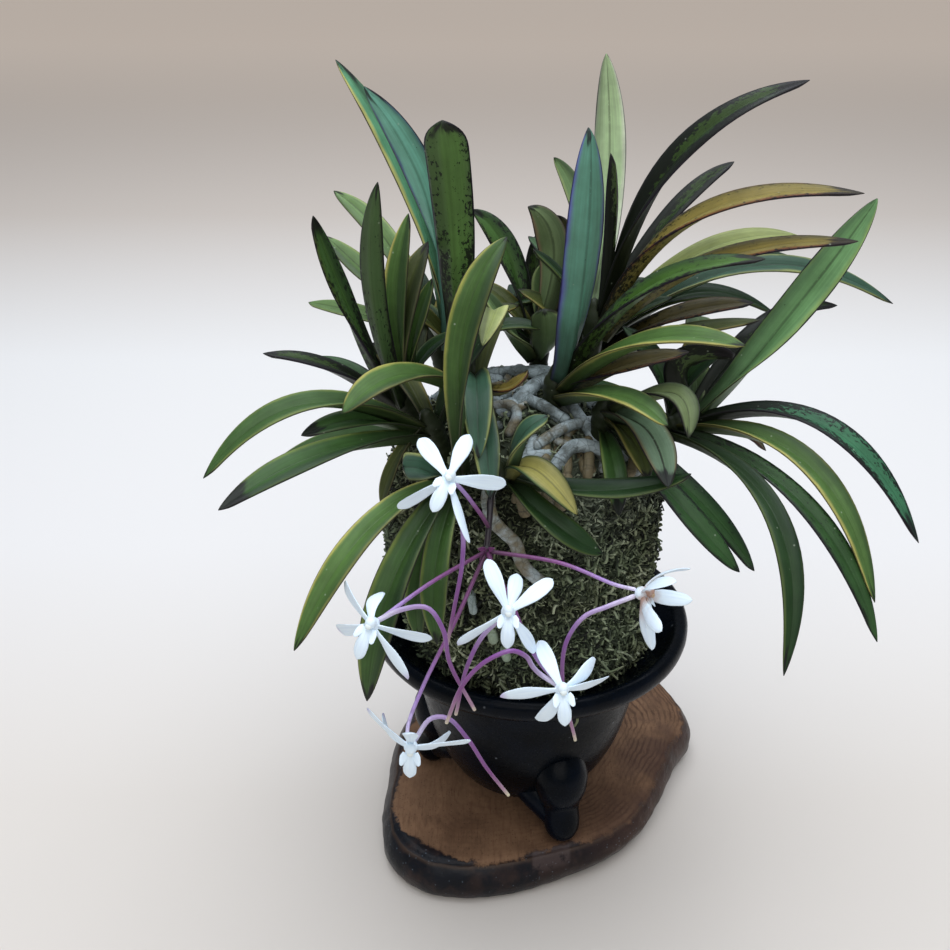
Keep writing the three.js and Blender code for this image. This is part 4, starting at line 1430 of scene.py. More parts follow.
@dataclass
class RootHeap:
    """The mat of old silvery roots that lies over the top of the moss."""

    centre: tuple[float, float] = (-2.0, -1.0)
    radius: float = 35.5
    base: float = 148.0
    rise: float = 18.5
    rows: int = 22
    sides: int = 72
    named: tuple[Root, ...] = (
        Root(2.3, ((-20, 13, 163), (-12, 10, 166), (-3, 6, 168), (4, 2, 168))),
        Root(2.2, ((-6, 9, 166), (2, 7, 168), (9, 3, 168))),
        Root(2.7, ((6, 3, 168), (0, -4, 168), (-6, -13, 166)), 0.1),
        Root(2.0, ((-17, -18, 160), (-12, -14, 165), (-8, -15, 166), (-6, -19, 165), (-9, -25, 161)), 0.5),
        Root(2.1, ((-4, -9, 166), (2, -16, 166), (9, -20, 163)), 0.1),
        Root(2.0, ((9, -12, 166), (13, -20, 163), (18, -27, 155.5))),
        Root(2.0, ((-2, -29, 159), (6, -25, 163), (13, -20, 163), (20, -14, 161)), 0.4),
        Root(2.4, ((3, -35, 154), (9, -30, 160), (15, -28.5, 159.2), (22, -26, 155.5), (29, -18, 152)), 0.15),
        Root(2.0, ((-8, -33, 152), (-1, -36, 152.6), (6, -33, 153)), 0.5),
        Root(1.9, ((-7, -30, 156), (-12, -38.5, 154.5), (-14.5, -44.5, 152.5), (-13.4, -48.3, 147.5),
                   (-10.7, -48.6, 144), (-7.2, -48.4, 140), (-4.8, -48, 132.7), (1.5, -47.4, 125.5)),
             0.5, 1.05))
    # growing tips that come out of the front of the moss
    tips: tuple[Root, ...] = (
        Root(1.7, ((-13.4, -40, 109), (-13, -42.4, 107), (-12.5, -43.2, 102.6)), 0.0, 1.0, 0.75),
        Root(1.5, ((-3.9, -40, 107), (-3.6, -42.6, 105), (-2.8, -43.2, 101.2)), 0.0, 1.0, 0.6),
        Root(1.5, ((-9.4, -40, 100), (-9, -42.4, 98.4), (-8.3, -43, 96)), 0.0, 1.0, 0.8),
        Root(1.3, ((-19.3, -38, 119), (-18.9, -41.5, 116.6), (-18.3, -43.0, 112.8)), 0.0, 1.0, 0.2))
    # how many there are of each kind that a loop lays
    front_stubs: int = 5
    fanned: int = 8
    hanging: int = 13
    edge_stubs: int = 9
    filling: int = 84

    def on_heap(self, reach: float, angle: float, lift: float) -> Point:
        """Return a point on the heap.

        Args:
            reach: 0 at its crest and 1 at its foot.
            angle: the direction from its middle.
            lift: how far above the heap the point lies.

        Returns:
            The point.
        """
        return (self.centre[0] + self.radius * reach * math.cos(angle),
                self.centre[1] + self.radius * reach * math.sin(angle),
                self.base + self.rise * math.sqrt(max(0.0, 1 - reach * reach)) + lift)

    @staticmethod
    def setback(x: float) -> float:
        """Return how far the front of the heap lies back at x."""
        return 0.16 * max(0, x - 10)

    def roots(self) -> list[Root]:
        """Lay every root.

        Returns:
            The roots, the thick ones first.
        """
        draw = Draws(11)
        found = [*self.named, *self.tips]
        for k in range(self.front_stubs):  # the row of stubby ends that hangs over the front
            x = 1 + 6 * k
            back = self.setback(x)
            found.append(Root(1.9, ((x + 1, -24 + back, 160), (x + draw() * 2, -32 + back, 156.5),
                                    (x, -36 + back, 152.4)), 0.75))
        for k in range(self.fanned):  # the roots that fan out over the back and the sides
            angle = math.radians(-14 + 26 * k + 10 * draw())
            drift = math.radians(30) * (draw() - 0.5)
            found.append(Root(2.15, tuple(self.on_heap(reach, angle + drift * i, 0.3)
                                          for i, reach in enumerate((0.25, 0.5, 0.72, 0.93)))))
        pick = random.Random(5)
        for k in range(self.hanging):  # more of the hanging ones, thinner, between and behind those
            x = -9 + 3.3 * k + pick.uniform(-1, 1)
            back, sag = self.setback(x), 0.012 * x * x
            found.append(Root(pick.uniform(1.3, 1.8), (
                (x + pick.uniform(-2, 3), -17 + back, 161.5 - sag), (x, -27 + back, 158 - sag),
                (x + pick.uniform(-1, 1), -33.4 + back, 153.4)), pick.uniform(0.35, 0.9)))
        for k in range(self.edge_stubs):  # a bunch of stubs at the mound's front edge
            x, drop = -6.5 + 1.6 * k + pick.uniform(-0.7, 0.7), pick.uniform(1.5, 7)
            found.append(Root(pick.uniform(1.5, 2.4), (
                (x + 1, -35.0, 153.5), (x, -40.5 - 1.2 * (k % 2), 152.0),
                (x + pick.uniform(-1.5, 1.5), -42.6 - 0.6 * (k % 2), 150.5 - drop)), pick.uniform(0.55, 0.9)))
        for _ in range(self.filling):  # thinner ones that fill the gaps between them
            angle, reach = pick.uniform(0, FULL_TURN), pick.uniform(0.1, 0.9)
            turn, inwards = pick.uniform(-0.5, 0.5), pick.uniform(-0.25, 0.3)
            lift = pick.uniform(-0.9, 0.1)
            points = [self.on_heap(min(0.97, max(0.03, reach + inwards * i / 3)), angle + turn * i / 3, lift)
                      for i in range(4)]
            found.append(Root(pick.uniform(1.3, 2.0), tuple(points), pick.uniform(0.0, 0.8)))
        return found

    def dome(self, inset: float) -> Array:
        """Lay rings over the heap, from its foot to its crest.

        Args:
            inset: how far under the heap's own surface they lie.

        Returns:
            The points of each ring.
        """
        angles = circle(self.sides)
        rings = []
        for k in range(self.rows):
            slope = math.pi / 2 * k / self.rows
            lump = np.array([0.8 * rounded((math.cos(a) * 5, math.sin(a) * 5, slope * 4)) for a in angles])
            size = self.radius * math.cos(slope) - inset + lump * 0.6
            height = self.base + (self.rise - inset) * math.sin(slope) + lump * math.sin(slope)
            rings.append(np.stack([self.centre[0] + size * np.cos(angles),
                                   self.centre[1] + size * np.sin(angles), height], axis=1))
        return np.array(rings)

    def build(self, palette: Palette, strands: MossStrands) -> None:
        """Make the core of the heap, the strands in its gaps and the roots.

        Args:
            palette: the finishes.
            strands: what grows the strands.
        """
        # the core takes the dark moss, painted shade in the gaps between the roots
        core = Skin()
        core.add(*loft(self.dome(0.9)))
        mount(core.build("moss_under_roots", palette.moss), "moss", "roots")
        bed = open_surface("bed_heap", self.dome(0.8))
        strands.cover(StrandBed("moss_between_roots", bed, 0.4, 3.8, 31, "roots", lift=0.6))
        skin = Skin(along=0.0, own=0.0, tan=0.0, end=0.0)
        for k, root in enumerate(self.roots()):
            points, faces, along = root.tube(phase=2.4 * k)
            skin.add(points, faces, along=along, own=(k * GOLDEN) % 1, tan=root.tan, end=root.green)
        mount(skin.build("root_mat", palette.root), "root", "roots")


# ---- Leaves ----
@dataclass(frozen=True)
class Colouring:
    """How a leaf is coloured: the blade and its margins, and how strong each kind of mark is."""

    blade: str
    margin: str
    speckle: float = 0.15
    stripe: float = 0.15
    tip: float = 0.06  # how much of its length is dark at the tip
    edge: float = 0.75


class Look(Enum):
    """The colourings that the leaves come in."""

    GREEN = Colouring("41602e", "83924c")
    GREEN_YELLOW = Colouring("527238", "bcb664")
    DARK_EDGED = Colouring("34552c", "141c14", speckle=0.9, edge=1.0)
    DARK_GREEN = Colouring("26401f", "52632f", speckle=0.3)
    DARK_TIPPED = Colouring("3d5d2e", "6f8040", tip=0.16)
    SPECKLED = Colouring("456630", "4a5a2c", speckle=1.35, tip=0.1, edge=1.0)
    BLACKISH = Colouring("34491f", "121412", speckle=2.7, tip=0.12, edge=1.0)
    OLIVE = Colouring("4d562a", "8d8446", tip=0.08)
    BROWN = Colouring("524a28", "5e3a22", speckle=1.1, tip=0.08, edge=1.0)
    GOLD = Colouring("8f8040", "744426", speckle=1.0, tip=0.1, edge=1.0)
    YELLOW = Colouring("a29c56", "3f5a34", speckle=0.2, stripe=0.4, tip=0.03, edge=0.7)
    PALE_YELLOW = Colouring("98a362", "b9bd7c", stripe=0.2, tip=0.02)
    PALE = Colouring("6f8a5a", "9fb074", speckle=0.05)
    STRIPED = Colouring("6c8a52", "9eae6c", stripe=0.5, speckle=0.05, tip=0.05)
    CREAM = Colouring("dcfac2", "f6ffe2", stripe=0.45, speckle=0.05, tip=0.02)
    BLUE = Colouring("80ccb8", "3c4a90", speckle=0.3, stripe=0.3, edge=1.0)
    TEAL = Colouring("5f9a72", "c9c878", tip=0.07, edge=0.9)
    PURPLE_TIPPED = Colouring("476630", "a5a654", tip=0.07, edge=0.9)
    PURPLE = Colouring("5a9888", "6464b8", stripe=0.4, edge=0.8)
    GREY_GREEN = Colouring("3a5a46", "9da462", stripe=0.4)
    BRIGHT = Colouring("466a28", "3c5826", speckle=1.2, tip=0.1, edge=1.0)
    PINKISH = Colouring("7f9468", "a5866f", stripe=0.5)
    DASHED = Colouring("547e3a", "48663a", speckle=1.15, tip=0.06, edge=1.0)
    STRAIGHT = Colouring("76a46c", "98b870", stripe=0.5, edge=1.0, tip=0.02)
    BLOTCHED = Colouring("3f7654", "161a20", speckle=1.7, tip=0.1, edge=1.0)
    CURLED = Colouring("7f9060", "3a3f28", stripe=0.5, speckle=0.4, tip=0.06, edge=1.0)
    DASHED_RIB = Colouring("6b8468", "6a5a3c", stripe=0.95, tip=0.12, edge=1.0)


@dataclass(frozen=True)
class Leaf:
    """One leaf, from its stem to its tip.

    arch lifts its middle off the straight line, sway moves it sideways, peak says where along the line
    it bends most, and front how far the blade turns forwards by its tip. A blunt leaf has a rounded end.
    """

    tip: Point
    width: float
    look: Look
    arch: float = 0.0
    sway: float = 0.0
    peak: float = 0.55
    front: float = 0.4
    blunt: bool = False


# a blade's section, once round from the keel: the place across it, and whether above or below
SECTION_ACROSS = np.array([0, .3, .6, .85, 1, .9, .62, .34, .07,
                           0, -.07, -.34, -.62, -.9, -1, -.85, -.6, -.3])
SECTION_LEVEL = np.array([-1, -1, -1, -1, 0, 1, 1, 1, 1, 1, 1, 1, 1, 1, 0, -1, -1, -1])


@dataclass
class Blade:
    """The shape of one leaf."""

    leaf: Leaf
    base: Array
    own: float  # a number of its own from 0 to 1, for its ripples and patterns
    rows: int = 28

    def __post_init__(self) -> None:
        """Lay the midrib."""
        leaf = self.leaf
        chord = np.array(leaf.tip, float) - self.base
        chord *= 1 - 0.5 / length_of(chord)  # the blade's thickness fills the last half millimetre
        self.chord = chord
        end = self.base + chord
        self.side = np.cross(unit(chord * (1, 1, 0)), UP)
        lift = unit(np.cross(self.side, chord))
        bend = mix(self.base, end, leaf.peak) + lift * 2 * leaf.arch + self.side * 2 * leaf.sway
        self.midrib = (self.base, bend, end)

    def natural(self, along: Array) -> Array:
        """Return the direction that the untwisted upper side looks in, where the midrib runs along another."""
        return np.cross(square_to(self.side, along), along)

    def upper(self, t: float, along: Array) -> Array:
        """Find the direction that the upper side looks in.

        Args:
            t: the share of the way to the tip.
            along: the direction of the midrib there.

        Returns:
            The direction.
        """
        towards = square_to(FRONT, along)
        if float(self.natural(bow(self.midrib, 0.5)[1]) @ FRONT) < 0:
            towards = -towards
        return unit(mix(self.natural(along), towards, self.leaf.front * float(smooth(t * 1.6))))

    def half_width(self, t: float) -> float:
        """Find half the width of the blade.

        Args:
            t: the share of the way to the tip.

        Returns:
            Half the width there.
        """
        shoulder, power = (0.86, 2.6) if self.leaf.blunt else (0.58, 2.2)
        run = max(0.0, (t - shoulder) / (1 - shoulder))
        base = mix(0.74, 1.0, float(smooth(t / 0.3)))
        return self.leaf.width / 2 * base * max(0.03, (1 - min(run, 1.0) ** power) ** 0.72)

    def ring(self, t: float) -> Array:
        """Lay the section a share of the way to the tip, folded along the midrib.

        Args:
            t: the share.

        Returns:
            The points.
        """
        phase = self.own * 6.3
        rib, along = bow(self.midrib, t)
        upper = self.upper(t, along)
        across = unit(np.cross(upper, along))
        half = self.half_width(t)
        fold = math.radians(mix(48.0, 18.0, float(smooth(t / 0.7))))
        reach, rise = half * math.cos(fold), half * math.sin(fold)
        keel = mix(2.0, 1.2, t)
        ripple = 1 + 0.1 * math.sin(7 * t + phase) * np.sign(SECTION_ACROSS)
        out = np.abs(SECTION_ACROSS)
        crown = 0.07 * half * np.sin(math.pi * out)
        middle = -0.5 * keel - 0.5 * rise + rise * out * ripple + crown
        narrow = min(1.0, half / 1.5)
        thick = (0.36 * keel * (1 - out) ** 0.7 + 0.26) * narrow * SECTION_LEVEL
        level = (middle + 0.5 * keel * (1 - narrow) + thick)[:, None]
        drift = 0.5 * math.sin(4 * t + phase) * t * (1 - t)
        return rib + across * (SECTION_ACROSS * reach + drift)[:, None] + upper * level

    def add_to(self, skin: Skin) -> None:
        """Add the leaf to a skin, with its colours and marks.

        Args:
            skin: the mesh to add to.
        """
        ts = 1 - (1 - np.linspace(0, 1, self.rows)) ** (1.7 if self.leaf.blunt else 1.3)
        points, faces = loft(np.array([self.ring(float(t)) for t in ts]))
        sides = len(SECTION_ACROSS)
        length = length_of(self.chord)
        colours = self.leaf.look.value
        upright = float(self.chord[2]) > 0.7 * length
        lee = -0.4 - 0.6 * self.own if upright and colours.stripe < 0.3 else 0.5 * self.own
        skin.add(points, faces, blade=rgb(colours.blade), margin=rgb(colours.margin),
                 across=tiled(SECTION_ACROSS, self.rows), under=tiled(SECTION_LEVEL < 0, self.rows),
                 along=spread(ts, sides), length=spread(ts * length, sides), own=self.own,
                 speckle=colours.speckle, stripe=colours.stripe, tip=colours.tip, edge=colours.edge, lee=lee)


# dark looks for the short filling leaves: leaf bases of the clump, coloured dark as painted shade inside it
INNER_LOOKS = (Look.DARK_GREEN, Look.OLIVE, Look.DARK_EDGED)


@dataclass(frozen=True)
class Growth:
    """A short stem with its leaves, whose bases wrap it."""

    name: str
    foot: Point
    crown: Point
    leaves: tuple[Leaf, ...]
    inner: int = 0  # how many short leaves fill the space behind the long ones, dark as painted shade inside the clump
    pitch: float = 1.5  # from one leaf's base to the next
    sheath: float = 3.4  # the length of stem that shows of each sheath

    def axis(self) -> Three:
        """Return the stem's foot, its crown and its direction."""
        foot, crown = np.array(self.foot, float), np.array(self.crown, float)
        return foot, crown, unit(crown - foot)

    def stem(self, skin: Skin) -> None:
        """Add the stem with its overlapping sheaths.

        Args:
            skin: the mesh to add to.
        """
        rows, sides = 40, 20
        foot, crown, along = self.axis()
        length = length_of(crown - foot)
        side = unit(np.cross(along, FRONT))
        heights = np.linspace(-1.0, length + 7, rows)
        radii = np.interp(heights, [-1, length - 11, length + 1, length + 7], [2.8, 2.8, 3.6, 1.2])
        step = (heights / self.sheath) % 1.0
        radii = radii * (0.92 + 0.1 * step)
        radii[-1] = 0.4
        centres = foot + along * heights[:, None]
        points, faces = loft(ringed(centres, radii, side[None], np.cross(along, side)[None], sides))
        # painted shade: the stem's own dark green, darkened further for the shade in the middle of the clump
        skin.add(points, faces, blade=rgb("2b3320"), margin=rgb("3a3a28"), across=0.2, along=0.3,
                 length=spread(heights, sides), edge=0.0,
                 speckle=spread(np.where(step > 0.8, 0.9, 0.25), sides))

    def build(self, palette: Palette, order: int) -> None:
        """Make the growth.

        Args:
            palette: the finishes.
            order: its number in the clump.
        """
        skin = Skin(blade=rgb("4f6b36"), margin=rgb("86994f"), across=0.0, along=0.0, length=0.0, under=0.0,
                    own=0.0, speckle=0.0, stripe=0.0, tip=0.0, edge=0.0, lee=0.0)
        self.stem(skin)
        _, crown, along = self.axis()
        for k, leaf in enumerate(self.leaves):
            base = crown + along * self.pitch * (k - (len(self.leaves) - 1) / 2)
            heading = unit((np.array(leaf.tip, float) - base) * (1, 1, 0))
            Blade(leaf, base + heading * 2, (GOLDEN * (order * 7 + k)) % 1).add_to(skin)
        draw = Draws(40 + order)
        for k in range(self.inner):
            turn = math.radians(mix(-25.0, 205.0, (k + 0.2 + 0.6 * draw()) / self.inner))
            rise, length = math.radians(mix(12.0, 58.0, draw())), mix(24.0, 38.0, draw())
            away = np.array([math.cos(turn) * math.cos(rise), math.sin(turn) * math.cos(rise), math.sin(rise)])
            base = crown - along * mix(0.0, 6.0, draw())
            leaf = Leaf(tuple(base + away * length), mix(6.0, 8.0, draw()), INNER_LOOKS[k % len(INNER_LOOKS)],
                        arch=mix(2.0, 6.0, draw()))
            Blade(leaf, base, draw()).add_to(skin)
        mount(skin.build(f"{self.name}_leaves", palette.leaf), "leaf", self.name)


GROWTHS = (
    Growth("growth_left", (-32, -9, 151), (-39, -10, 166), (
        Leaf((-77, -20, 184), 7, Look.BLACKISH, arch=4.5, front=0.2),
        Leaf((-61, -15, 221), 8, Look.SPECKLED, arch=-1.5, sway=4, front=0.55),
        Leaf((-42, -30, 233), 7, Look.DARK_EDGED, arch=-1, sway=4),
        Leaf((-36, -8, 220), 8, Look.GREEN_YELLOW, arch=6, sway=3, front=0.6),
        Leaf((-31, -3, 211), 9, Look.OLIVE, arch=8, sway=3, front=0.6),
        Leaf((-30, -5, 201), 7, Look.PURPLE_TIPPED, arch=3, sway=3)), 3),
    Growth("growth_left_low", (-26, -22, 151), (-30, -26, 164), (
        Leaf((-78, -24, 150), 8, Look.GREEN, arch=3, sway=6, front=0.2),
        Leaf((-81, -70, 162), 9, Look.DARK_TIPPED, arch=6),
        Leaf((-64, -44, 170), 8, Look.DARK_TIPPED, arch=4, sway=1),
        Leaf((-88, -55, 163), 9, Look.GREEN, arch=14, sway=2, front=0.3),
        Leaf((-44.5, -35, 143.5), 5, Look.OLIVE, arch=3)), 2),
    Growth("growth_front_left", (-18, -31, 150), (-23, -40, 156), (
        Leaf((-33, -60, 116), 7, Look.GREEN, arch=8, sway=1, peak=0.7),
        Leaf((-28, -68, 120), 8, Look.GREEN, arch=11, sway=1),
        Leaf((-46, -80, 111), 10, Look.GREEN, arch=17, sway=-3),
        Leaf((-62, -88, 133), 8, Look.GREEN_YELLOW, arch=14, sway=-3),
        Leaf((-10, -36, 221), 9, Look.PURPLE_TIPPED, arch=10, sway=6, peak=0.75, front=0.9),
        Leaf((-37.5, -46, 162), 9, Look.GREY_GREEN, arch=1, front=0.7, blunt=True))),
    Growth("growth_tall_left", (-20, 4, 155), (-23, 4, 176), (
        Leaf((-57, 20, 256), 8, Look.TEAL, arch=6.5, sway=2, front=0.6),
        Leaf((-47, -4, 252), 10, Look.BLUE, arch=8, sway=1, front=0.6),
        Leaf((-26, -26, 247), 12, Look.DASHED, arch=3, sway=-1, front=0, blunt=True)), 5),
    Growth("growth_back_left", (-26, 23, 151), (-31, 29, 172), (
        Leaf((-74, 46, 177), 8, Look.STRIPED, arch=3, sway=-3),
        Leaf((-67, 48, 199), 9, Look.STRIPED, arch=2, sway=-2),
        Leaf((-65, 60, 211), 9, Look.STRIPED, arch=6, sway=1, front=0.6)), 5),
    Growth("growth_inner", (-16, -11, 157), (-18, -12, 173), (
        Leaf((-52, -50, 179), 10, Look.GREEN_YELLOW, arch=9, sway=-1, peak=0.7),
        Leaf((-3, -22, 180), 6, Look.GOLD, arch=-2, sway=3, peak=0.7),
        Leaf((-16, -30, 190), 9, Look.PALE_YELLOW, arch=15, sway=-5, peak=0.8, front=0.2),
        Leaf((-14, -55.5, 157), 8, Look.GREY_GREEN, arch=6.5, peak=0.6, front=0.6),
        Leaf((-17, -50, 166), 9, Look.GREY_GREEN, arch=9, peak=0.5, front=0.7))),
    Growth("growth_back", (2, 17, 153), (2, 17, 174), (
        Leaf((-17, 4, 196), 9, Look.PALE, arch=-1, sway=-3, front=0.5),
        Leaf((2, -2, 191), 9, Look.PALE, arch=-3, sway=-1, front=0, blunt=True),
        Leaf((-19, 30, 212), 9, Look.SPECKLED, arch=3, sway=4, peak=0.7, front=0.7),
        Leaf((-3, 8, 218), 10, Look.PINKISH, arch=7, sway=-4, peak=0.7, front=0.75),
        Leaf((7, 27, 211), 8, Look.BROWN, arch=-3, sway=4, peak=0.7),
        Leaf((1, 34, 203), 7, Look.BLACKISH, arch=-5),
        Leaf((3, 20, 198), 7, Look.PALE, arch=-2, sway=-1)), 6),
    Growth("growth_tall_right", (17, 5, 155), (17, 4, 185), (
        Leaf((74, 2, 211), 9, Look.PALE_YELLOW, arch=10, sway=1, peak=0.6),
        Leaf((78, -34, 219), 9, Look.GOLD, arch=9, sway=2, peak=0.5),
        Leaf((79, -30, 230), 9, Look.GOLD, arch=16, sway=3, peak=0.5),
        Leaf((59, 26, 227), 7, Look.BLACKISH, arch=3.5, sway=-3, peak=0.7),
        Leaf((68, -8, 254), 10, Look.BLACKISH, arch=14, sway=2, peak=0.6, front=0.5),
        Leaf((6, 38, 226), 7, Look.PALE, arch=-3, sway=6, peak=0.8, front=0.6),
        Leaf((19, 2, 234), 6, Look.BLACKISH, sway=-2, front=0),
        Leaf((18, 16, 258), 10, Look.CREAM, arch=-11, sway=3, peak=0.5, front=0.8)), 4),
    Growth("growth_right_back", (17, 15, 153), (16, 14, 171), (
        Leaf((68, 8, 184), 7, Look.OLIVE, arch=2, sway=-2, peak=0.45),
        Leaf((63, 0, 192), 9, Look.BROWN, arch=5, sway=1),
        Leaf((77, 26, 180), 9, Look.DARK_GREEN, arch=12, sway=-2),
        Leaf((91, 40, 191), 8, Look.DARK_GREEN, arch=12, sway=-6, peak=0.6),
        Leaf((114, 26, 183), 9, Look.GREY_GREEN, arch=18, sway=-2, front=0.5)), 5),
    Growth("growth_right", (4, -11, 157), (5, -12, 171), (
        Leaf((29, -62, 181), 8, Look.GREEN_YELLOW, arch=6, sway=2, peak=0.8),
        Leaf((39, -32, 189), 8, Look.BROWN, arch=3, sway=4),
        Leaf((46, -60, 201), 9, Look.GREEN_YELLOW, arch=8, sway=5, peak=0.7),
        Leaf((52, -46, 218), 9, Look.BRIGHT, arch=10, sway=3, peak=0.6),
        Leaf((10, -24, 245), 11, Look.PURPLE, arch=-5, front=0.3))),
    Growth("growth_front", (-9, -32, 150), (-11, -41, 158), (
        Leaf((16, -58, 142), 9, Look.DARK_GREEN, arch=3, sway=6),
        Leaf((37, -58, 166), 8, Look.DARK_GREEN, arch=-3, sway=3),
        Leaf((8.5, -60, 155), 9, Look.YELLOW, arch=6.5, peak=0.22),
        Leaf((1, -46, 177), 8, Look.GREY_GREEN, arch=3, sway=4, peak=0.8))),
    Growth("growth_right_front", (17, -21, 152), (18, -24, 167), (
        Leaf((20, -52, 150), 7, Look.DARK_TIPPED, arch=5),
        Leaf((53, -56, 135), 8, Look.DARK_EDGED, arch=3, sway=3, peak=0.6),
        Leaf((60, -46, 129), 8, Look.DARK_EDGED, arch=5, sway=3, peak=0.6),
        Leaf((27, -52, 161), 7, Look.OLIVE, arch=3, sway=-1),
        Leaf((30, -64, 165), 10, Look.DASHED_RIB, arch=6, sway=-2),
        Leaf((37, -50, 172), 8, Look.CURLED, arch=8, sway=-6, peak=0.7))),
    Growth("growth_far_right", (30, -6, 151), (42, -8, 158), (
        Leaf((72, -2, 145), 6, Look.BROWN, arch=5, sway=-1, peak=0.7),
        Leaf((62, -76, 116), 7.5, Look.DARK_GREEN, arch=18, sway=-8),
        Leaf((90, -64, 118), 8, Look.DARK_EDGED, arch=15),
        Leaf((89, -60, 128), 9, Look.GREEN_YELLOW, arch=16, sway=-6, peak=0.45),
        Leaf((105, -44, 137), 9, Look.BLOTCHED, arch=18, sway=-4, peak=0.45),
        Leaf((95, 22, 184), 8, Look.BLACKISH, arch=7, sway=-5, peak=0.7),
        Leaf((92, -4, 223), 11, Look.STRAIGHT, arch=-2.5, front=1),
        Leaf((54, -20, 184), 10, Look.BLACKISH, arch=9, sway=8, peak=0.7, blunt=True),
        Leaf((55, 36, 176), 9, Look.PALE, arch=2, peak=0.7, blunt=True)), 4),
)


# ---- Flowers ----
@dataclass(frozen=True)
class Tepal:
    """One narrow petal: its spin about the flower, its backward tilt and its share of the usual length."""

    spin: float
    tilt: float
    size: float = 1.0
    purple: float = 0.0
    twist: float = 0.0  # how far it is turned about its own length, in degrees


@dataclass(frozen=True)
class Cut:
    """How a kind of petal is cut."""

    width: float  # its widest
    thickness: float  # in its middle
    outline: tuple[float, ...]  # half widths from the heart to the tip, as shares
    cup: float = 0.0  # how far its edges stand forward of its middle


TEPAL_CUT = Cut(4.0, 0.8, (0.34, 0.5, 0.76, 0.97, 1.0, 0.86, 0.55), 0.14)
BACK_CUT = Cut(4.0, 0.8, TEPAL_CUT.outline, -0.14)
LIP_CUT = Cut(3.5, 1.0, (0.75, 0.72, 0.78, 0.98, 0.95, 0.6), -0.1)
LOBE_CUT = Cut(2.2, 0.7, (0.8, 1.0, 0.7, 0.4))


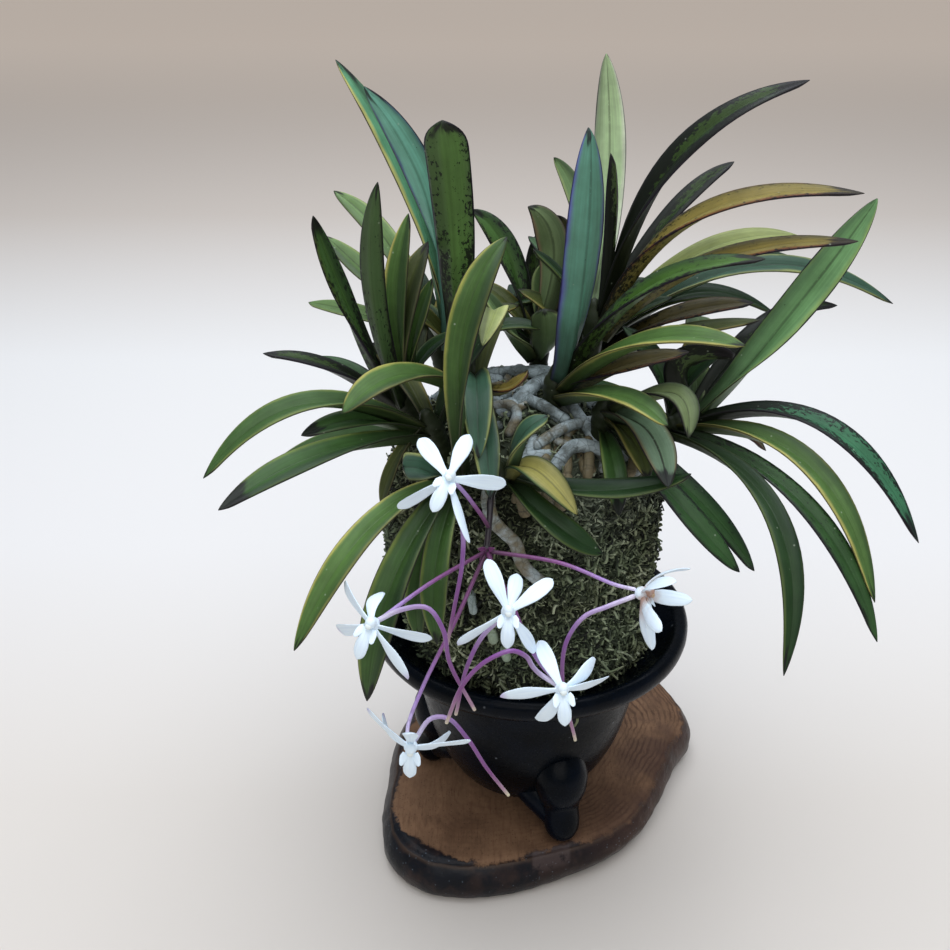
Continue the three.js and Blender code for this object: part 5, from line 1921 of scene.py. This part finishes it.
@dataclass(frozen=True)
class Bloom:
    """One flower with its stem and its spur.

    face is the way it looks, in degrees to the right of front and above level. lip is the spin that the
    lip points in, and mouth the side of the back where the spur leaves.
    """

    number: int
    centre: Point
    face: tuple[float, float]
    lip: float
    mouth: float
    tepals: tuple[Tepal, ...]
    stem: Points
    spur: Points
    faded: bool = False
    length: float = 14.5
    rows: int = 18
    sides: int = 14

    def axes(self) -> Three:
        """Find the flower's own directions.

        Returns:
            The directions out of its face, up its face and to the viewer's right.
        """
        a, e = (math.radians(angle) for angle in self.face)
        out = np.array([math.sin(a) * math.cos(e), -math.cos(a) * math.cos(e), math.sin(e)])
        right = unit(np.cross(UP, out))
        return out, unit(np.cross(out, right)), right

    def turn(self, spin: float) -> Array:
        """Return the direction at a spin about the face."""
        _, up, right = self.axes()
        return right * math.cos(math.radians(spin)) + up * math.sin(math.radians(spin))

    def place(self, direction: Array, along: float, forward: float) -> Array:
        """Return a point along a direction and out of the face."""
        return np.array(self.centre, float) + direction * along + self.axes()[0] * forward

    def joint(self, spin: float, radius: float) -> Point:
        """Find where the stem or the spur meets the back.

        Args:
            spin: the side of the centre that it lies to.
            radius: the radius of what meets it there.

        Returns:
            The point.
        """
        out = self.axes()[0]
        return tuple(np.array(self.centre, float) - out * (1.3 + radius * 0.5) + self.turn(spin) * 0.8)

    def petal(self, skin: Skin, curve: Three, cut: Cut, own: float, twist: float = 0.0,
              **marks: float) -> None:
        """Add one petal along a quadratic curve.

        Args:
            skin: the mesh to add to.
            curve: its start, bend and end.
            cut: its width, thickness and outline.
            own: a number of its own for its veins.
            twist: how far it is turned about its own length, in degrees.
            marks: how purple its tip is and how stained it is.
        """
        out = self.axes()[0]
        turned = (math.cos(math.radians(twist)), math.sin(math.radians(twist)))
        ts = 1 - (1 - np.linspace(0, 1, self.rows)) ** 1.25
        sideways, rise = np.cos(circle(self.sides)), np.sin(circle(self.sides))
        rings = []
        for t in ts:
            middle, along = bow(curve, t)
            facing = square_to(out, along)
            across = unit(np.cross(facing, along))
            facing, across = facing * turned[0] + across * turned[1], across * turned[0] - facing * turned[1]
            share = float(np.interp(t, np.linspace(0, 1, len(cut.outline)), cut.outline))
            round_off = math.sqrt(max(0.0, 1 - max(0.0, (t - 0.86) / 0.14) ** 2))
            half = cut.width / 2 * max(0.03, share * round_off)
            ripple = 0.25 * math.sin(5 * t + own * 9) * sideways
            level = (cut.thickness * 0.42 * mix(1.0, 0.6, t) * rise + cut.cup * half * sideways * sideways
                     + ripple * half * 0.5)
            rings.append(middle + across * (half * sideways)[:, None] + facing * level[:, None])
        points, faces = loft(np.array(rings))
        skin.add(points, faces, along=spread(ts, self.sides), own=own,
                 across=tiled(sideways, self.rows), **marks)

    def knob(self, skin: Skin, centre: Array, radii: Point, **marks: float) -> None:
        """Add a small rounded lump.

        Args:
            skin: the mesh to add to.
            centre: its middle.
            radii: its radii along the lip, across it and out of the face.
            marks: how stained and how yellow it is.
        """
        out = self.axes()[0]
        down, across = self.turn(self.lip), self.turn(self.lip + 90)
        pole = math.pi / 2 - 0.15
        u = circle(self.sides)
        rings = []
        for v in np.linspace(-pole, pole, 9):
            rings.append(centre + down * (radii[0] * math.cos(v) * np.cos(u))[:, None]
                         + across * (radii[1] * math.cos(v) * np.sin(u))[:, None]
                         + out * radii[2] * math.sin(v))
        points, faces = loft(np.array(rings))
        skin.add(points, faces, along=0.1, **marks)

    def reached(self, tepal: Tepal, lean: float, reach: float) -> Array:
        """Find a point that a tepal passes.

        Args:
            tepal: the tepal.
            lean: the share of its tilt that it has by then.
            reach: the share of its length.

        Returns:
            The point.
        """
        tilt = math.radians(tepal.tilt * lean)
        out = self.length * tepal.size * reach
        return self.place(self.turn(tepal.spin), out * math.cos(tilt), -out * math.sin(tilt))

    def flower(self, palette: Palette) -> None:
        """Make the petals, the lip and the column.

        Args:
            palette: the finishes.
        """
        skin = Skin(along=0.0, across=0.0, own=0.0, purple=0.0, stain=0.0, yellow=0.0)
        stain = 0.85 if self.faded else 0.0
        for k, tepal in enumerate(self.tepals):
            curve = (self.place(self.turn(tepal.spin), 0.6, 0.0), self.reached(tepal, 0.4, 0.55),
                     self.reached(tepal, 1.0, 1.0))
            self.petal(skin, curve, BACK_CUT if k % 2 else TEPAL_CUT, k / 5 + self.number / 7, tepal.twist,
                       purple=tepal.purple, stain=stain)
        down, across = self.turn(self.lip), self.turn(self.lip + 90)
        tongue = (self.place(down, 0.4, 0.8), self.place(down, 3.4, 3.4), self.place(down, 8.6, 1.4))
        self.petal(skin, tongue, LIP_CUT, own=0.4, stain=stain * 0.5)
        for sign in (-1, 1):
            lobe = (self.place(down, 0.9, 1.3) + across * 1.1 * sign,
                    self.place(down, 2.2, 2.3) + across * 1.9 * sign,
                    self.place(down, 3.5, 3.0) + across * 2.2 * sign)
            self.petal(skin, lobe, LOBE_CUT, own=0.7, stain=stain)
        self.knob(skin, self.place(down, -0.7, 1.5), (1.45, 1.35, 1.5), stain=stain)
        self.knob(skin, self.place(down, 0.1, 2.6), (0.75, 0.85, 0.5), yellow=0.2, stain=stain)
        self.knob(skin, self.place(down, 0.0, -0.2), (1.8, 1.8, 1.8), stain=stain * 0.6)
        mount(skin.build(f"bloom_{self.number}_petals", palette.petal), "petal", f"bloom_{self.number}")

    def nectar_spur(self, palette: Palette) -> None:
        """Make the long hanging spur.

        Args:
            palette: the finishes.
        """
        sides = 10
        path = Route([self.joint(self.mouth, 0.95), *self.spur])
        skin = Skin(along=0.0, length=0.0, around=0.0)
        points, faces, along = tube(path, (0.64, 0.46), sides, step=1.2)
        around = tiled(np.sin(circle(sides)), (len(points) - 2) // sides)
        skin.add(points, faces, along=along / path.length, length=along, around=around)
        mount(skin.build(f"spur_{self.number}_tube", palette.spur), "spur", f"spur_{self.number}")


NODE: Point = (-15, -60, 144.5)  # where the flower stems leave the stalk
BLOOMS = (
    Bloom(1, (-24, -80, 176), (0, 36), 245, 290,
          (Tepal(124, 28), Tepal(68, 30), Tepal(-2, 24, twist=-30), Tepal(-72, 5, 1.06, twist=60),
           Tepal(207, 22, twist=55)),
          ((-14.5, -57, 150), (-17, -67, 160), (-21.5, -75, 171)),
          ((-21, -80.5, 164), (-21, -82, 155), (-23, -82, 142), (-25, -80, 129))),
    Bloom(2, (-42, -92, 144), (-16, 24), 255, 50,
          (Tepal(144, 28, twist=38), Tepal(112, 62, 0.88), Tepal(-9, 20, twist=-40),
           Tepal(-51, 8, 1.06, 0.8, -40), Tepal(202, 34, 1.0, 0.8, 32)),
          (NODE, (-29, -76, 145), (-39, -86.5, 143)),
          ((-35, -91, 147.5), (-29, -92.5, 149), (-25.5, -92.5, 143), (-24, -91, 132), (-18, -89, 116))),
    Bloom(3, (-10, -84, 142), (0, 24), 268, 245,
          (Tepal(113, 28), Tepal(72, 52, 0.9), Tepal(32, 26, twist=20), Tepal(215, 10, 1.05, 0.4, 50),
           Tepal(-58, 26, twist=50)),
          (NODE, (-12, -71, 142.5), (-10.5, -79, 141.4)),
          ((-16, -82.5, 134), (-20, -82, 124), (-23, -80, 107))),
    Bloom(4, (24, -73, 140), (72, 4), 250, 250,
          (Tepal(50, -56, 0.92), Tepal(-36, -58, 0.95), Tepal(264, -10, 1.1, twist=70),
           Tepal(124, -44, 0.9, twist=25), Tepal(196, -30, 0.9, twist=40)),
          (NODE, (4, -66, 144.5), (17.5, -71, 141.2)),
          ((15, -76.5, 138.5), (9, -78.5, 136.8), (5, -79, 130), (4.5, -77.5, 116), (9, -75, 94)), faded=True),
    Bloom(5, (3, -92, 125), (4, 22), 272, 150,
          (Tepal(114, 44), Tepal(24, 42, twist=-20), Tepal(2, 30, twist=-45), Tepal(186, 6, 1.04, 1.0, 35),
           Tepal(245, 38)),
          (NODE, (-9, -70, 136), (-3, -80, 126), (2, -86, 122.8)),
          ((-1.9, -89.0, 127.0), (-4.2, -91.8, 131.6), (-6.2, -95.0, 137.2), (-10, -97.5, 140.5),
           (-16, -98, 137.5), (-21, -97, 130), (-25, -95, 117))),
    Bloom(6, (-34, -92, 107), (0, 0), 267, 20,
          (Tepal(142, 18, 1.0, 0.7, 38), Tepal(178, 58, 1.0, 0.8, 30), Tepal(8, 0, 1.04, twist=-30),
           Tepal(-23, 44), Tepal(88, -35, 0.9)),
          (NODE, (-23, -72, 131), (-31, -80, 117), (-35, -86, 108.5)),
          ((-29, -88.4, 113), (-25, -88.4, 113.2), (-20, -87.4, 105.8), (-15, -86.4, 95), (-9, -85, 84))),
)


@dataclass
class FlowerStalk:
    """The dark stalk, its joint with small bracts, and the six flower stems."""

    route: Points = ((-11.6, -46.6, 158), (-13.6, -50.6, 156.4), (-14.2, -55.4, 151.6), NODE)
    knot: Points = ((-14.9, -58.8, 145.9), NODE, (-15.1, -61.0, 143.3))
    # the tip and the width of each bract
    bracts: tuple[tuple[Point, float], ...] = (
        ((-17.4, -61.1, 145.9), 1.6), ((-12.8, -61.0, 146.0), 1.4), ((-16.8, -61.7, 142.6), 1.6),
        ((-13.4, -61.8, 142.3), 1.4), ((-15.4, -62.0, 146.5), 1.3))

    def bract(self, skin: Skin, tip: Point, width: float) -> None:
        """Add a small pointed scale leaf at the joint.

        Args:
            skin: the mesh to add to.
            tip: where it ends.
            width: its widest.
        """
        start, end = np.array(NODE, float), np.array(tip, float)
        along = unit(end - start)
        across = unit(np.cross(along, FRONT))
        out = np.cross(across, along)
        sideways, rise = np.cos(circle(10)), np.sin(circle(10))
        rings = []
        for t in np.linspace(0, 1, 7):
            half = width / 2 * max(0.06, math.sin(math.pi * (0.25 + 0.72 * t)))
            level = 0.3 * (1 - 0.6 * t) * rise + 0.45 * half * sideways ** 2
            rings.append(mix(start, end, t) + across * (half * sideways)[:, None] + out * level[:, None])
        points, faces = loft(np.array(rings))
        skin.add(points, faces, bloomward=0.3)

    @staticmethod
    def ringed_joint(distances: Array) -> Array:
        """Return a factor on the stalk's radius, with a swollen ring part of the way along."""
        return 1 + 0.12 * np.exp(-((distances - 8) / 1.2) ** 2)

    def build(self, palette: Palette) -> None:
        """Make the stalk.

        Args:
            palette: the finishes.
        """
        skin = Skin(bloomward=0.0, along=0.0, around=0.0)
        path = Route(self.route)
        points, faces, along = tube(path, (0.85, 0.8), sides=12, step=1.0, swell=self.ringed_joint)
        skin.add(points, faces, along=along, bloomward=0.1 * along / path.length)
        points, faces, along = tube(Route(self.knot), (1.1, 0.9), sides=12, step=0.8)
        skin.add(points, faces, along=along, bloomward=0.12)
        for bloom in BLOOMS:
            path = Route([*bloom.stem, bloom.joint(bloom.mouth + 180, 0.8)])
            points, faces, along = tube(path, (0.55, 0.5), sides=10, step=1.2)
            skin.add(points, faces, along=along, bloomward=mix(0.2, 1.0, along / path.length))
        for tip, width in self.bracts:
            self.bract(skin, tip, width)
        mount(skin.build("flower_stalk_stems", palette.stalk), "stalk", "flower_stalk")


# ---- Studio ----
@dataclass
class Studio:
    """A pale floor with painted light falloff and a painted glow, soft light and the camera."""

    camera_place: Point = (-18.0, -297.0, 289.0)
    camera_pitch: float = 27.3  # degrees below level
    lens: float = 40.43
    falloff_depth: float = 3.0  # how far behind the plant the painted light falloff has turned the floor to its darker tone, in metres
    floor_reach: float = 12.0  # half the floor's width, in metres

    def floor(self) -> None:
        """Lay the floor, with its painted light falloff and glow."""
        t = Paint("floor")
        y = t.split(t.place)[1]
        depth = t.span(y, 0.0, self.falloff_depth)
        # painted light falloff: darker in front of the stand, palest about half a metre behind it, darker and
        # warmer further back
        colour = t.ramp(t.times(y, 1 / self.falloff_depth), (0.0, "d4cdc5"), (0.06, "dfdcd9"), (0.15, "e4e2df"),
                        (0.3, "d0c6bc"), (0.6, "c6baae"), (1.0, "bfb2a5"))
        # painted glow: the floor emits more light the farther back it lies
        material = t.finish(Base_Color=colour, Roughness=0.9, Specular_IOR_Level=0.1, Emission_Strength=1.1,
                            Emission_Color=t.blend(depth, (0, 0, 0, 1), rgb("8d8278")))
        mesh = bpy.data.meshes.new("floor")
        reach = self.floor_reach
        corners = [(-reach, -reach, 0), (reach, -reach, 0), (reach, reach, 0), (-reach, reach, 0)]
        mesh.from_pydata(corners, [], [(0, 1, 2, 3)])
        mesh.materials.append(material)
        link("floor", mesh)

    def light(self, name: str, place: Point, aim: Point, size: float, power: float, colour: str) -> None:
        """Hang one square soft light.

        Args:
            name: the lamp's name.
            place: where it hangs, in metres.
            aim: the point that it is turned to, in metres.
            size: its side, in metres.
            power: its power, in watts.
            colour: its sRGB code.
        """
        data = bpy.data.lights.new(name, "AREA")
        data.size, data.energy, data.color = size, power, rgb(colour)[:3]
        lamp = link(name, data)
        lamp.location = place
        lamp.rotation_euler = (Vector(aim) - Vector(place)).to_track_quat("-Z", "Y").to_euler()

    def camera(self) -> None:
        """Set up the camera."""
        data = bpy.data.cameras.new("camera")
        data.lens, data.sensor_width, data.clip_start = self.lens, 36.0, 0.01
        camera = link("camera", data)
        camera.location = [value * MM for value in self.camera_place]
        camera.rotation_euler = (math.radians(90 - self.camera_pitch), 0, 0)
        bpy.context.scene.camera = camera

    def build(self) -> None:
        """Set the stage."""
        self.camera()
        self.floor()
        world = bpy.data.worlds.new("studio")
        world.use_nodes = True
        sky = world.node_tree.nodes["Background"]
        sky.inputs["Color"].default_value = rgb("e2ebf7")
        sky.inputs["Strength"].default_value = 0.42
        bpy.context.scene.world = world
        self.light("overhead", (0.06, 0.12, 1.2), (0, 0, 0.1), 1.3, 17.0, "f2f7ff")
        self.light("front", (-0.15, -1.0, 0.95), (0, 0, 0.12), 1.2, 6.5, "fffbf6")
        bpy.context.scene.view_settings.view_transform = "Standard"


# ---- The whole plant ----
def main() -> None:
    """Build the stage, then each part of the plant."""
    Studio().build()
    palette = Palette()
    strands = MossStrands(palette.strands)
    Stand().build(palette)
    Pot().build(palette)
    MossMound().build(palette, strands)
    Straws().build(palette)
    RootHeap().build(palette, strands)
    for order, growth in enumerate(GROWTHS):
        growth.build(palette, order)
    FlowerStalk().build(palette)
    for bloom in BLOOMS:
        bloom.flower(palette)
        bloom.nectar_spur(palette)


if __name__ == "__main__":
    main()
